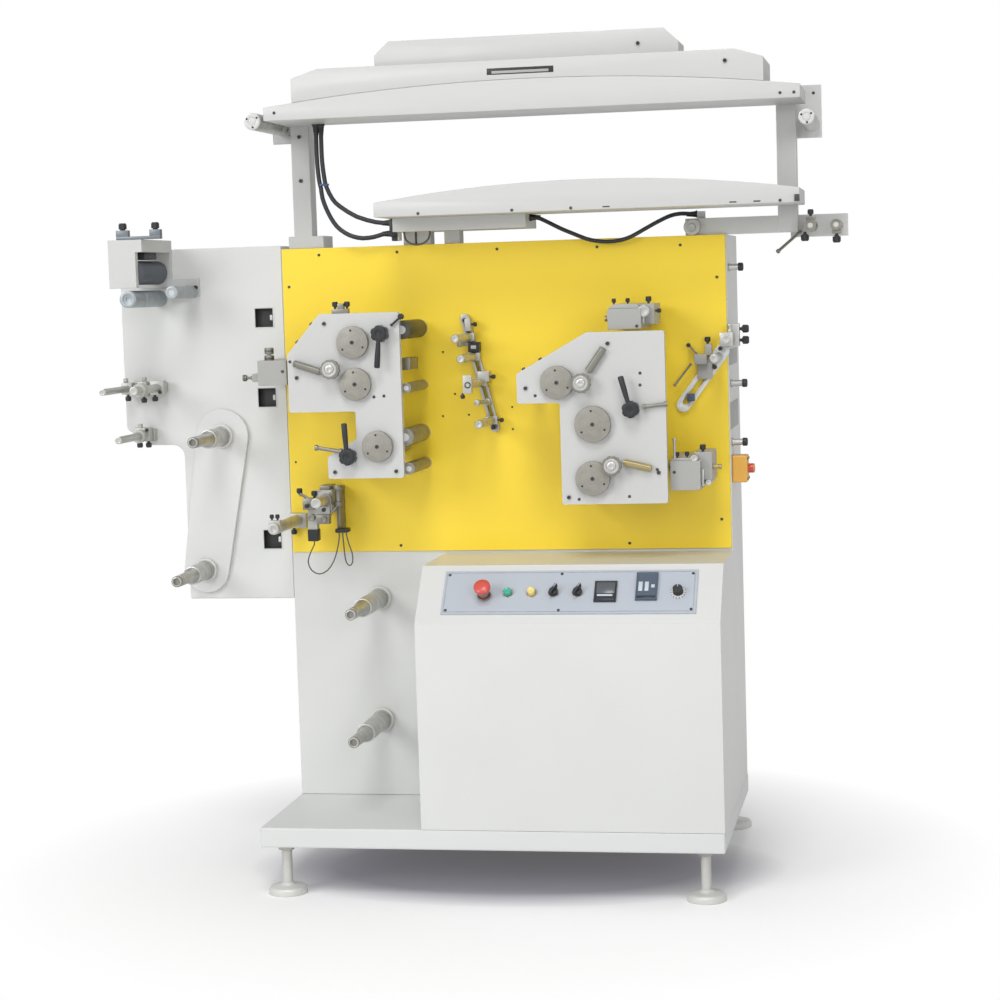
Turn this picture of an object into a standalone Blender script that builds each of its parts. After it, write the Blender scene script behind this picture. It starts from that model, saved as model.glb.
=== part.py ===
"""Narrow-web flexographic label press, built at its real size.

Units are metres and +Z is up. Positions inside the machine are measured from the middle of the
front panel at floor level: +X to the operator's right, +Y away from the operator. The machine frame
then places the whole press so that the model's origin is the middle of its footprint.
"""
import math

import bmesh
import bpy
from mathutils import Matrix, Vector

# Fits
TOUCH = 0.0003
RUN = 0.005
PIN_FIT = 0.0005
ROUND_SIDES = 20
TOOL_OVERLAP = 0.004

# Housing, base and feet
HALF_PANEL = 0.550
HOUSING_DEPTH = 0.280
HOUSING_TOP = 1.535
BASE_OVERHANG = 0.002
BASE_LEFT = -HALF_PANEL - BASE_OVERHANG
BASE_RIGHT = HALF_PANEL
BASE_FRONT = -0.370
BASE_REAR_MARGIN = 0.020
BASE_REAR = HOUSING_DEPTH + BASE_REAR_MARGIN
BASE_BOTTOM = 0.120
BASE_HEIGHT = 0.048
BASE_TOP = BASE_BOTTOM + BASE_HEIGHT
BASE_EDGE = 0.004
FOOT_RADIUS = 0.046
FOOT_THICKNESS = 0.020
FOOT_STEM_RADIUS = 0.0125
FOOT_NECK = 0.006
FOOT_EDGE = 0.004
FOOT_SLOPE = 0.003
FOOT_RIM = 0.005
FOOT_INSET_X = 0.050
FOOT_INSET_Y = 0.050
REAR_FOOT_REACH = 0.120
REAR_FOOT_Y = BASE_REAR + REAR_FOOT_REACH
REAR_BEAM_THICKNESS = 0.034
REAR_BEAM_END = 0.020
REAR_BEAM_SHARE = 0.8
REAR_BEAM_EDGE = 0.003


def hung(x, drop, *rest):
    """Return a place given by x and its drop below the housing's top, with what else belongs to it."""
    return (x, HOUSING_TOP - drop, *rest)


def hung_box(left, right, low_drop, high_drop):
    """Return the limits in x and z of a block given by drops below the housing's top."""
    return (left, right, HOUSING_TOP - low_drop, HOUSING_TOP - high_drop)


# Yellow panel and wing
HOUSING_EDGE = 0.002
CONSOLE_DROP = 0.759
CONSOLE_TOP = HOUSING_TOP - CONSOLE_DROP
YELLOW_GAP = 0.007
YELLOW_BOTTOM = CONSOLE_TOP + YELLOW_GAP
YELLOW_THICKNESS = 0.006
YELLOW_SIDE_MARGIN = 0.003
YELLOW_EDGE = 0.0008
WING_WIDTH = 0.420
WING_LEFT = -HALF_PANEL - WING_WIDTH
WING_RISE = 0.009
WING_TOP = HOUSING_TOP + WING_RISE
WING_SHOULDER = WING_TOP - 0.446
WING_SHOULDER_RUN = 0.060
WING_WAIST = WING_SHOULDER - 0.042
WING_WAIST_LEFT = WING_LEFT + 0.149
WING_BOTTOM = WING_WAIST - 0.390
WING_DEPTH = 0.100
WING_CORNER = 0.030
GRIP_WIDTH = 0.046
GRIP_HEIGHT = 0.047
GRIP_DEPTH = 0.018
GRIP_INSET = 0.050
GRIP_X = -HALF_PANEL - GRIP_INSET
GRIP_DROPS = (0.176, 0.374, 0.729)

# Reel spindles
ARM_THICKNESS = 0.012
ARM_UPPER = (WING_LEFT + 0.253, WING_TOP - 0.4674)
ARM_UPPER_RADIUS = 0.067
ARM_LOWER = (WING_LEFT + 0.198, WING_TOP - 0.803)
ARM_LOWER_RADIUS = 0.058
PANEL_SPINDLE_LOW = BASE_TOP + 0.192
PANEL_SPINDLE_HIGH = YELLOW_BOTTOM - 0.117
PANEL_SPINDLES = ((-0.3295, PANEL_SPINDLE_HIGH), (-0.333, PANEL_SPINDLE_LOW))
WING_SPINDLE_REACH = 0.250
PANEL_SPINDLE_REACH = 0.302
SPINDLE_TIP_RADIUS = 0.0140
SPINDLE_CORE_RADIUS = 0.023
SPINDLE_FLANGE_RADIUS = 0.030
SPINDLE_FLANGE_THICKNESS = 0.008
SPINDLE_TIP_LENGTH = 0.115
SPINDLE_TAPER = 0.010
SPINDLE_PIN_RADIUS = 0.010
END_EDGE = 0.002

# Console
CONSOLE_LEFT = -0.160
CONSOLE_SLOPE_RISE = 0.122
CONSOLE_SLOPE_FOOT = CONSOLE_TOP - CONSOLE_SLOPE_RISE
CONSOLE_SLOPE_RUN = 0.112
CONSOLE_SLOPE_REAR = BASE_FRONT + CONSOLE_SLOPE_RUN
CONTROL_PLATE_WIDTH = 0.594
CONTROL_PLATE_HEIGHT = 0.122
CONTROL_PLATE_THICKNESS = 0.003
CONTROL_PLATE_CENTRE = (0.001, 0.003)
POCKET_DEPTH = 0.020
STOP_PLACE = (-0.197, -0.006)
STOP_HEAD_RADIUS = 0.0195
STOP_HEAD_HEIGHT = 0.014
STOP_HEAD_SIDE = 0.008
STOP_HEAD_CROWN = 0.0125
STOP_CROWN_SHARE = 0.6
STOP_STEM_RADIUS = 0.012
STOP_NECK = 0.018
STOP_COLLAR_RADIUS = 0.0170
STOP_COLLAR_HEIGHT = 0.008
STOP_TRAVEL = 0.004
STOP_SPARE = 0.001
RING_STEP = 0.001
START_PLACE = (-0.142, 0.0)
RESET_PLACE = (-0.086, 0.0)
BUTTON_RADIUS = 0.009
BUTTON_BEZEL_RADIUS = 0.0135
BUTTON_BEZEL_HEIGHT = 0.005
BUTTON_PROUD = 0.012
BUTTON_STEM = 0.010
BUTTON_EDGE = 0.001
SELECTOR_PLACES = {"selector_left": (-0.034, 0.0), "selector_right": (0.022, 0.0)}
SELECTOR_RADIUS = 0.0105
SELECTOR_STEM_RADIUS = 0.0055
SELECTOR_HEIGHT = 0.010
SELECTOR_GRIP = (0.006, 0.030, 0.010)
SELECTOR_GRIP_ROOT = 0.004
KNOB_PLACE = (0.255, 0.0)
KNOB_RADIUS = 0.013
KNOB_STEM_RADIUS = 0.0045
KNOB_HEIGHT = 0.018
CONTROLLERS = (((0.087, 0.002), (0.052, 0.058), 0.008), ((0.182, 0.015), (0.050, 0.076), 0.010))

# Print units
UNIT_FRONT = -0.215
UNIT_THICKNESS = 0.020
UNIT_CORNER = 0.006
TIE_RADIUS = 0.011
JOURNAL_RADIUS = 0.009
CYLINDER_RADIUS = 0.036
INK_ROLLER_RADIUS = 0.0145
DISC_THICKNESS = 0.016
DISC_EDGE = 0.0015
INK_HUB_RADIUS = 0.0235
INK_HUB_THICKNESS = 0.020
LEFT_UNIT_OUTLINE = (
    hung(-0.484, 0.255), hung(-0.402, 0.160), hung(-0.208, 0.160), hung(-0.208, 0.553), hung(-0.393, 0.553),
    hung(-0.393, 0.501), hung(-0.321, 0.459), hung(-0.321, 0.393), hung(-0.484, 0.393))
RIGHT_UNIT_OUTLINE = (
    hung(0.070, 0.313), hung(0.238, 0.220), hung(0.420, 0.220), hung(0.420, 0.622), hung(0.171, 0.622),
    hung(0.171, 0.383), hung(0.070, 0.383))
LEFT_CYLINDERS = {
    "left_print_cylinder": hung(-0.320, 0.229, 0.0385),
    "left_impression_cylinder": hung(-0.317, 0.328, 0.0385),
    "left_lower_roller": hung(-0.268, 0.477, 0.0370)}
RIGHT_CYLINDERS = {
    "right_print_cylinder": hung(0.167, 0.335, 0.0390),
    "right_impression_cylinder": hung(0.249, 0.434, 0.0425),
    "right_lower_cylinder": hung(0.246, 0.561, 0.0405)}
LEFT_INK_ROLLERS = {"left_ink_roller": hung(-0.372, 0.291)}
RIGHT_INK_ROLLERS = {
    "right_ink_roller": hung(0.227, 0.337),
    "right_lower_ink_roller": hung(0.294, 0.531)}
LEFT_TIES = (hung(-0.390, 0.183), hung(-0.376, 0.537), hung(-0.226, 0.537), hung(-0.462, 0.310))
RIGHT_TIES = (hung(0.091, 0.347), hung(0.288, 0.247), hung(0.400, 0.550), hung(0.187, 0.605))
LEFT_IDLERS = (hung(-0.206, 0.203, 0.022), hung(-0.199, 0.341, 0.012), hung(-0.206, 0.458, 0.021),
               hung(-0.199, 0.533, 0.014))
LEVER_HUB_RADIUS = 0.020
LEVER_HUB_LENGTH = 0.036
LEVER_GRIP_DROP = 0.008
LEVER_PIN_RADIUS = 0.006
LEVER_REACH = 0.082
LEVER_GRIP_RADIUS = 0.007
LEVER_GRIP_NECK = 0.7
LEVER_GRIP_END = 0.004
LEVER_GRIP_ROOT = 0.010
LEFT_LEVERS = {
    "left_upper_lever": hung(-0.251, 0.210, -95.0),
    "left_lower_lever": hung(-0.339, 0.500, 93.0)}
RIGHT_LEVERS = {"right_lever": hung(0.340, 0.401, 105.0)}
INK_UNIT_FRONT = -0.190
INK_UNITS = {
    "left_ink_unit": (hung_box(-0.566, -0.494, 0.328, 0.268), hung_box(-0.590, -0.540, 0.320, 0.300)),
    "upper_ink_unit": (hung_box(0.285, 0.364, 0.216, 0.168), hung_box(0.345, 0.392, 0.206, 0.158)),
    "lower_ink_unit": (hung_box(0.424, 0.494, 0.595, 0.526), hung_box(0.478, 0.519, 0.574, 0.508))}
INK_UNIT_STEP = 0.030

# Nip unit and wing guides
NIP_INSET = 0.102
NIP_ROLLER_X = WING_LEFT + NIP_INSET
NIP_ROLLER_Z = WING_TOP - 0.057
NIP_LEFT = NIP_ROLLER_X - 0.049
NIP_RIGHT = NIP_ROLLER_X + 0.036
NIP_FRONT = -0.225
NIP_TOP = WING_TOP + 0.022
NIP_BAR_HEIGHT = 0.030
NIP_BAR_BOTTOM = NIP_TOP - NIP_BAR_HEIGHT
NIP_CHEEK_BOTTOM = NIP_ROLLER_Z - 0.037
NIP_CHEEK_RIGHT = NIP_ROLLER_X + 0.019
NIP_CHEEK_THICKNESS = 0.018
NIP_BACK_THICKNESS = 0.014
NIP_ROLLER_RADIUS = 0.029
NIP_PAD_HALF = 0.010
NIP_PAD_REACH = (-0.160, -0.080)
DRAW_ROLLER_Z = NIP_ROLLER_Z - 0.0635
DRAW_ROLLER_RADIUS = 0.0205
DRAW_ROLLER_REACH = 0.245
SMALL_ROLLER = (NIP_ROLLER_X + 0.091, NIP_ROLLER_Z - 0.050)
SMALL_ROLLER_RADIUS = 0.015
SMALL_ROLLER_REACH = 0.180
SMALL_ARM_DROP = 0.012
SMALL_ARM_RISE = 0.020
GUIDE_REACH = 0.220
UPPER_GUIDE_ARM = (WING_LEFT + 0.011, WING_LEFT + 0.114, WING_TOP - 0.355, WING_TOP - 0.330)
UPPER_GUIDE_RODS = ((WING_LEFT + 0.021, WING_TOP - 0.343, 0.007),
                    (WING_LEFT + 0.100, WING_TOP - 0.342, 0.010))
LOWER_GUIDE_ARM = (WING_LEFT + 0.040, WING_LEFT + 0.080, WING_TOP - 0.476, WING_TOP - 0.445)
LOWER_GUIDE_ROD = (WING_LEFT + 0.056, WING_TOP - 0.4605, 0.0085)
GUIDE_ARM_THICKNESS = 0.020
GUIDE_COLLAR_RADIUS = 0.017
GUIDE_COLLAR_LENGTH = 0.014
UPPER_COLLAR_START = 0.170
LOWER_COLLAR_START = 0.060

# Guides on the yellow panel
LOWER_LEFT_ROLLER = hung(-0.525, 0.669, 0.014)
LOWER_LEFT_REACH = 0.250
CLUSTER_BLOCK = hung_box(-0.457, -0.417, 0.647, 0.590)
CLUSTER_DEPTH = 0.095
CLUSTER_ARM = hung_box(-0.477, -0.454, 0.711, 0.630)
CLUSTER_ARM_REACH = (-0.110, -0.090)
CLUSTER_LINK_HEIGHT = 0.015
CLUSTER_ROLLER = hung(-0.431, 0.613, 0.012)
CLUSTER_REACH = 0.200
CENTRE_BAR_TOP = hung(-0.089, 0.182)
CENTRE_BAR_FOOT = hung(-0.022, 0.450)
CENTRE_BAR_WIDTH = 0.022
CENTRE_BAR_THICKNESS = 0.012
CENTRE_ROLLER_SHARES = (0.17, 0.35, 0.58, 0.93)
CENTRE_ROLLER_RADIUS = 0.010
CENTRE_ROLLER_REACH = 0.200
ARM_FOOT = hung(0.440, 0.404)
ARM_HEAD = hung(0.536, 0.277)
ARM_WIDTH = 0.034
ARM_PLATE_THICKNESS = 0.010
ARM_SLOT_WIDTH = 0.010
ARM_SLOT_SHARES = (0.08, 0.55)
ARM_STUD = hung(0.525, 0.292, 0.012)
ARM_STUD_REACH = 0.120
SWITCH_DEPTH = 0.036
SWITCH_HEIGHT = 0.065
SWITCH_LENGTH = 0.060
SWITCH_Z = HOUSING_TOP - 0.564
SWITCH_Y = 0.050
SWITCH_EDGE = 0.003
SWITCH_BUTTON_RADIUS = 0.011
SWITCH_BUTTON_REACH = 0.016

# Dryer frame
DRYER_FRONT = -0.215
TRAY_LEFT = -HALF_PANEL + 0.030
TRAY_RIGHT = HALF_PANEL + 0.193
TRAY_LIFT = 0.299
TRAY_BOTTOM = HOUSING_TOP + TRAY_LIFT
TRAY_END_HEIGHT = 0.031
TRAY_END_TOP = TRAY_BOTTOM + TRAY_END_HEIGHT
TRAY_RISE = 0.040
LID_LEFT = TRAY_LEFT + 0.070
LID_RIGHT = TRAY_RIGHT - 0.082
LID_HEIGHT = 0.045
LID_TOP = TRAY_END_TOP + TRAY_RISE + LID_HEIGHT
LID_END_DROP = 0.020
LID_END_TOP = LID_TOP - LID_END_DROP
LID_END_RUN = 0.065
HOOD_LEFT = LID_LEFT + 0.189
HOOD_RIGHT = LID_RIGHT - 0.199
HOOD_FRONT = -0.150
HOOD_REAR = -0.030
HOOD_HEIGHT = 0.062
HOOD_END_HEIGHT = 0.030
HOOD_END_RUN = 0.035
LOWER_DRYER_LEFT = TRAY_LEFT + 0.260
LOWER_DRYER_RIGHT = TRAY_RIGHT - 0.006
LOWER_DRYER_LIFT = 0.063
LOWER_DRYER_BOTTOM = HOUSING_TOP + LOWER_DRYER_LIFT
LOWER_DRYER_END = 0.034
LOWER_DRYER_RISE = 0.037
ARCH_STEPS = 16
POST_FRONT = 0.006
POST_DEPTH = 0.050
POST_WIDTH = 0.046
LEFT_POST_LEFT = -HALF_PANEL + 0.034
LEFT_POST = (LEFT_POST_LEFT, LEFT_POST_LEFT + POST_WIDTH)
LEFT_POST_TOP = TRAY_BOTTOM + 0.026
POST_FOOT = (LEFT_POST[0] - 0.015, LEFT_POST[1] + 0.028)
POST_FOOT_HEIGHT = 0.030
POST_FOOT_DEPTH = 0.090
LEFT_BRACKET = (LEFT_POST[0] - 0.056, LEFT_POST[1] - 0.005, LEFT_POST_TOP - 0.065, LEFT_POST_TOP - 0.003)
BRACKET_THICKNESS = 0.012
RIGHT_POST_LEFT = HALF_PANEL + 0.123
RIGHT_POST = (RIGHT_POST_LEFT, RIGHT_POST_LEFT + POST_WIDTH)
RIGHT_POST_TOP = TRAY_BOTTOM + 0.047
BEAM_LEFT = HALF_PANEL - 0.098
BEAM_HEIGHT = 0.040
BEAM_STEP = 0.001
RIGHT_PLATE = (RIGHT_POST[0] + 0.017, RIGHT_POST[1] + 0.059, RIGHT_POST_TOP - 0.124, RIGHT_POST_TOP)
LOW_BRACKET = (RIGHT_POST[0] + 0.027, RIGHT_POST[1] + 0.117, HOUSING_TOP - 0.012, HOUSING_TOP + 0.041)
TOP_ROLLER_RADIUS = 0.020
RIGHT_ROLLER_RADIUS = 0.018
TOP_ROLLER_REACH = 0.210
LEFT_TOP_ROLLER = (LEFT_POST[0] - 0.033, LEFT_POST_TOP - 0.025)
RIGHT_TOP_ROLLER = (RIGHT_POST[1] + 0.037, RIGHT_POST_TOP - 0.091)
LOW_HOLDERS = ((RIGHT_POST[1] + 0.033, HOUSING_TOP + 0.013), (RIGHT_POST[1] + 0.093, HOUSING_TOP + 0.013))
LOW_HOLDER_RADIUS = 0.013
LOW_HOLDER_REACH = 0.060
CHANNEL_LEFT = LOWER_DRYER_LEFT + 0.018
CHANNEL_LENGTH = 0.324
CHANNEL_RIGHT = CHANNEL_LEFT + CHANNEL_LENGTH
CHANNEL_HEIGHT = 0.032
CHANNEL_FRONT = -0.100
CHANNEL_BLOCKS = ((0.002, 0.030), (0.036, 0.069), (0.104, 0.142))
BLOCK_STEP = 0.001
GLAND_LENGTH = 0.014
GLAND_HALF = 0.015
GLAND_DROP = 0.020

# Hoses and cable: upper legs from the tray's left end and underside, the rest from the channel and dryer
HOSE_Y = -0.035
HOSE_RADIUS = 0.0055
CABLE_RADIUS = 0.0050
TRAY_LEGS = {
    "dryer_hose_1": ((0.0925, -TOUCH), (0.0925, -0.012), (0.092, -0.050), (0.0925, -0.090), (0.0965, -0.130),
                     (0.101, -0.152)),
    "dryer_hose_2": ((0.080, -TOUCH), (0.080, -0.012), (0.0795, -0.054), (0.080, -0.094), (0.083, -0.134),
                     (0.087, -0.154))}
CHANNEL_LEGS = {
    "dryer_hose_1": ((-0.163, 0.0545), (-0.1447, 0.0355), (-0.1037, 0.0094), (-0.0565, -0.0055),
                     (-0.026, -0.0085), (-GLAND_LENGTH - TOUCH, -0.0085)),
    "dryer_hose_2": ((-0.188, 0.0575), (-0.1801, 0.0332), (-0.1684, 0.0085), (-0.1541, -0.0128),
                     (-0.1348, -0.0285), (-0.1148, -0.0382), (-0.0899, -0.0434), (-0.0620, -0.0412),
                     (-0.0420, -0.0360), (-0.028, -0.0345), (-GLAND_LENGTH - TOUCH, -0.0345))}
CABLE_CHANNEL_LEG = ((TOUCH, -0.008), (0.012, -0.008), (0.026, -0.0115), (0.0469, -0.022), (0.0765, -0.0375),
                     (0.106, -0.0505), (0.1356, -0.063), (0.160, -0.069), (0.1874, -0.0718))
CABLE_BEAM_LEG = ((-0.153, -0.0065, 0.001), (-0.1275, 0.0012, 0.006), (-0.1024, 0.0145, 0.014),
                  (-0.0739, 0.0304, 0.026), (-0.0452, 0.0450, 0.040), (-0.0277, 0.0510, 0.0495),
                  (-0.0099, 0.0532, 0.056), (0.0079, 0.0522, 0.060), (0.019, 0.051, 0.0612),
                  (0.028 - TOUCH, 0.051, 0.0612))
CABLE_GLAND_RUN = (0.028, 0.046)
CABLE_GLAND_HALF = 0.010
CABLE_GLAND_Y = 0.026
CABLE_GLAND_HEIGHT = 0.017
ROUTE_SAMPLES = 3

# Place of the machine frame: the footprint's middle is the model's origin
MACHINE_X = -(WING_LEFT + LOW_BRACKET[1]) / 2
MACHINE_Y = -(BASE_FRONT + REAR_FOOT_Y + FOOT_RADIUS) / 2

TOWARDS_OPERATOR = (math.pi / 2, 0.0, 0.0)
ALONG_X = (math.pi / 2, 0.0, math.pi / 2)
TO_THE_RIGHT = (0.0, math.pi / 2, 0.0)
PANEL_FACE = -YELLOW_THICKNESS - TOUCH


def clear_scene():
    """Remove everything that the opened file holds."""
    for item in list(bpy.data.objects):
        bpy.data.objects.remove(item, do_unlink=True)


def make_collection(name):
    """Return a new collection under the scene."""
    collection = bpy.data.collections.new(name)
    bpy.context.scene.collection.children.link(collection)
    return collection


def make_material(name, colour, roughness, metallic=0.0):
    """Return a Principled material of one colour."""
    made = bpy.data.materials.new(name)
    made.use_nodes = True
    shader = made.node_tree.nodes["Principled BSDF"]
    shader.inputs["Base Color"].default_value = (*colour, 1.0)
    shader.inputs["Roughness"].default_value = roughness
    shader.inputs["Metallic"].default_value = metallic
    return made


clear_scene()
PARTS = make_collection("flexographic_press")
TOOLS = make_collection("press_tools")
FRAME = bpy.data.objects.new("machine_frame", None)
FRAME.location = (MACHINE_X, MACHINE_Y, 0.0)
PARTS.objects.link(FRAME)

# Materials
WHITE_PAINT = make_material("white_paint", (0.73, 0.74, 0.72), 0.45)
YELLOW_PAINT = make_material("yellow_paint", (0.83, 0.60, 0.05), 0.45)
GREY_PAINT = make_material("grey_paint", (0.50, 0.50, 0.48), 0.50)
STEEL = make_material("steel", (0.55, 0.54, 0.51), 0.35, 1.0)
BLACK_PLASTIC = make_material("black_plastic", (0.02, 0.02, 0.02), 0.45)
RUBBER = make_material("rubber", (0.07, 0.07, 0.075), 0.70)
RED_PLASTIC = make_material("red_plastic", (0.70, 0.04, 0.03), 0.35)
GREEN_PLASTIC = make_material("green_plastic", (0.03, 0.50, 0.25), 0.35)
AMBER_PLASTIC = make_material("amber_plastic", (0.90, 0.62, 0.05), 0.35)
ORANGE_PLASTIC = make_material("orange_plastic", (0.90, 0.42, 0.06), 0.45)
CONTROL_FACE = make_material("control_face", (0.60, 0.63, 0.66), 0.40)


def adopt(item, name, finish, parent=None):
    """Name an object, give it its finish and put it in the parts collection under its parent."""
    item.name = name
    item.data.name = name
    item.data.materials.clear()
    item.data.materials.append(finish)
    for collection in list(item.users_collection):
        collection.objects.unlink(item)
    PARTS.objects.link(item)
    item.parent = parent or FRAME
    return item


def combine(piece, tool, operation):
    """Join a tool to a piece, or cut it out, with an exact Boolean."""
    step = piece.modifiers.new(tool.name, "BOOLEAN")
    step.operation = operation
    step.solver = "EXACT"
    step.object = tool
    for collection in list(tool.users_collection):
        collection.objects.unlink(tool)
    TOOLS.objects.link(tool)
    tool.hide_render = True
    tool.display_type = "WIRE"
    return piece


def join(piece, *tools):
    """Join several tools to a piece."""
    for tool in tools:
        combine(piece, tool, "UNION")
    return piece


def cut(piece, *tools):
    """Cut several tools out of a piece."""
    for tool in tools:
        combine(piece, tool, "DIFFERENCE")
    return piece


def box(name, x, y, z, finish, bevel=0.0, parent=None):
    """Return a block between the given limits, with rounded edges where a bevel is given."""
    centre = Vector(((x[0] + x[1]) / 2, (y[0] + y[1]) / 2, (z[0] + z[1]) / 2))
    bpy.ops.mesh.primitive_cube_add(size=1.0, location=centre)
    block = bpy.context.active_object
    block.data.transform(Matrix.Diagonal((x[1] - x[0], y[1] - y[0], z[1] - z[0], 1.0)))
    adopt(block, name, finish, parent)
    if bevel:
        edge = block.modifiers.new("edges", "BEVEL")
        edge.width = bevel
        edge.segments = 2
    return block


def turned(name, profile, place, turn, finish, parent=None, sides=ROUND_SIDES, ring=False):
    """Return a turned piece whose profile lists (radius, height) down its side, and back up in a ring."""
    mesh = bpy.data.meshes.new(name)
    points = [(radius, 0.0, height) for radius, height in profile]
    edges = [(i, i + 1) for i in range(len(points) - 1)]
    if ring:
        edges.append((len(points) - 1, 0))
    mesh.from_pydata(points, edges, [])
    piece = bpy.data.objects.new(name, mesh)
    PARTS.objects.link(piece)
    screw = piece.modifiers.new("turn", "SCREW")
    screw.axis = "Z"
    screw.angle = math.tau
    screw.steps = sides
    screw.render_steps = sides
    screw.use_merge_vertices = True
    screw.merge_threshold = 0.00001
    screw.use_smooth_shade = True
    piece.location = place
    piece.rotation_euler = turn
    return adopt(piece, name, finish, parent)


def rod(name, radius, near, far, x, z, finish, sides=ROUND_SIDES):
    """Return a round rod that points at the operator, between two distances before the panel."""
    profile = ((0.0, far), (radius, far), (radius, near), (0.0, near))
    return turned(name, profile, (x, 0.0, z), TOWARDS_OPERATOR, finish, sides=sides)


def circle(x, z, radius, sides=ROUND_SIDES, phase=0.0):
    """Return the points of a circle, turned on by a share of one side."""
    turns = [math.tau * (i + phase) / sides for i in range(sides)]
    return [(x + radius * math.cos(turn), z + radius * math.sin(turn)) for turn in turns]


def rounded(points, radius, steps=3):
    """Return an outline with each corner replaced by an arc."""
    outline = []
    count = len(points)
    for i, corner in enumerate(points):
        here = Vector(corner)
        before = (Vector(points[i - 1]) - here).normalized()
        after = (Vector(points[(i + 1) % count]) - here).normalized()
        half = before.angle(after) / 2
        reach = radius / math.tan(half)
        centre = here + (before + after).normalized() * radius / math.sin(half)
        first = here + before * reach - centre
        last = here + after * reach - centre
        sweep = first.angle_signed(last)
        for k in range(steps + 1):
            spoke = first.copy()
            spoke.rotate(Matrix.Rotation(-sweep * k / steps, 2))
            outline.append(tuple(centre + spoke))
    return outline


def hull_of_circles(low, low_radius, high, high_radius, steps=12):
    """Return the outline of a belt around two circles."""
    line = Vector(high) - Vector(low)
    lean = math.atan2(line.y, line.x)
    spread = math.acos((low_radius - high_radius) / line.length)
    outline = []
    for k in range(steps + 1):
        angle = lean + spread + (math.tau - 2 * spread) * k / steps
        outline.append((low[0] + low_radius * math.cos(angle), low[1] + low_radius * math.sin(angle)))
    for k in range(steps + 1):
        angle = lean - spread + 2 * spread * k / steps
        outline.append((high[0] + high_radius * math.cos(angle), high[1] + high_radius * math.sin(angle)))
    return outline


def outline_piece(name, loops, thickness, place, turn, finish, parent=None):
    """Return a flat outline, with its holes, drawn out to a thickness about its middle."""
    curve = bpy.data.curves.new(name, "CURVE")
    curve.dimensions = "2D"
    curve.fill_mode = "BOTH"
    curve.extrude = thickness / 2
    for loop in loops:
        spline = curve.splines.new("POLY")
        spline.points.add(len(loop) - 1)
        for point, (across, up) in zip(spline.points, loop):
            point.co = (across, up, 0.0, 1.0)
        spline.use_cyclic_u = True
    piece = bpy.data.objects.new(name, curve)
    PARTS.objects.link(piece)
    piece.location = place
    piece.rotation_euler = turn
    return adopt(piece, name, finish, parent)


def plate(name, loops, front, thickness, finish):
    """Return an upright plate whose outline is given in x and z."""
    return outline_piece(name, loops, thickness, (0.0, front + thickness / 2, 0.0), TOWARDS_OPERATOR, finish)


def as_solid(piece):
    """Turn an extruded outline into a welded mesh, so that it can be cut and joined."""
    name = piece.name
    finish = piece.data.materials[0]
    bpy.context.view_layer.update()
    graph = bpy.context.evaluated_depsgraph_get()
    mesh = bpy.data.meshes.new_from_object(piece.evaluated_get(graph))
    shell = bmesh.new()
    shell.from_mesh(mesh)
    bmesh.ops.remove_doubles(shell, verts=shell.verts, dist=0.00001)
    shell.to_mesh(mesh)
    shell.free()
    solid = bpy.data.objects.new(name, mesh)
    PARTS.objects.link(solid)
    solid.location = piece.location
    solid.rotation_euler = piece.rotation_euler
    parent = piece.parent
    curve = piece.data
    bpy.data.objects.remove(piece)
    bpy.data.curves.remove(curve)
    return adopt(solid, name, finish, parent)


def smooth_route(points, samples):
    """Return points along a smooth curve through the route's own points, with a straight leg at each end."""
    route = [Vector(point) for point in points[1:-1]]
    ends = [2 * route[0] - route[1]] + route + [2 * route[-1] - route[-2]]
    path = [Vector(points[0])]
    for i in range(1, len(ends) - 2):
        before, here, after, beyond = ends[i - 1:i + 3]
        for k in range(samples):
            t = k / samples
            path.append(0.5 * (2 * here + (after - before) * t
                               + (2 * before - 5 * here + 4 * after - beyond) * t ** 2
                               + (3 * here - before - 3 * after + beyond) * t ** 3))
    return path + [route[-1], Vector(points[-1])]


def tube(name, points, radius, finish):
    """Return a hose or cable along a smooth route."""
    curve = bpy.data.curves.new(name, "CURVE")
    curve.dimensions = "3D"
    curve.bevel_depth = radius
    curve.bevel_resolution = 2
    curve.use_fill_caps = True
    path = smooth_route(points, ROUTE_SAMPLES)
    spline = curve.splines.new("POLY")
    spline.points.add(len(path) - 1)
    for point, place in zip(spline.points, path):
        point.co = (*place, 1.0)
    piece = bpy.data.objects.new(name, curve)
    PARTS.objects.link(piece)
    return adopt(piece, name, finish)


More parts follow.
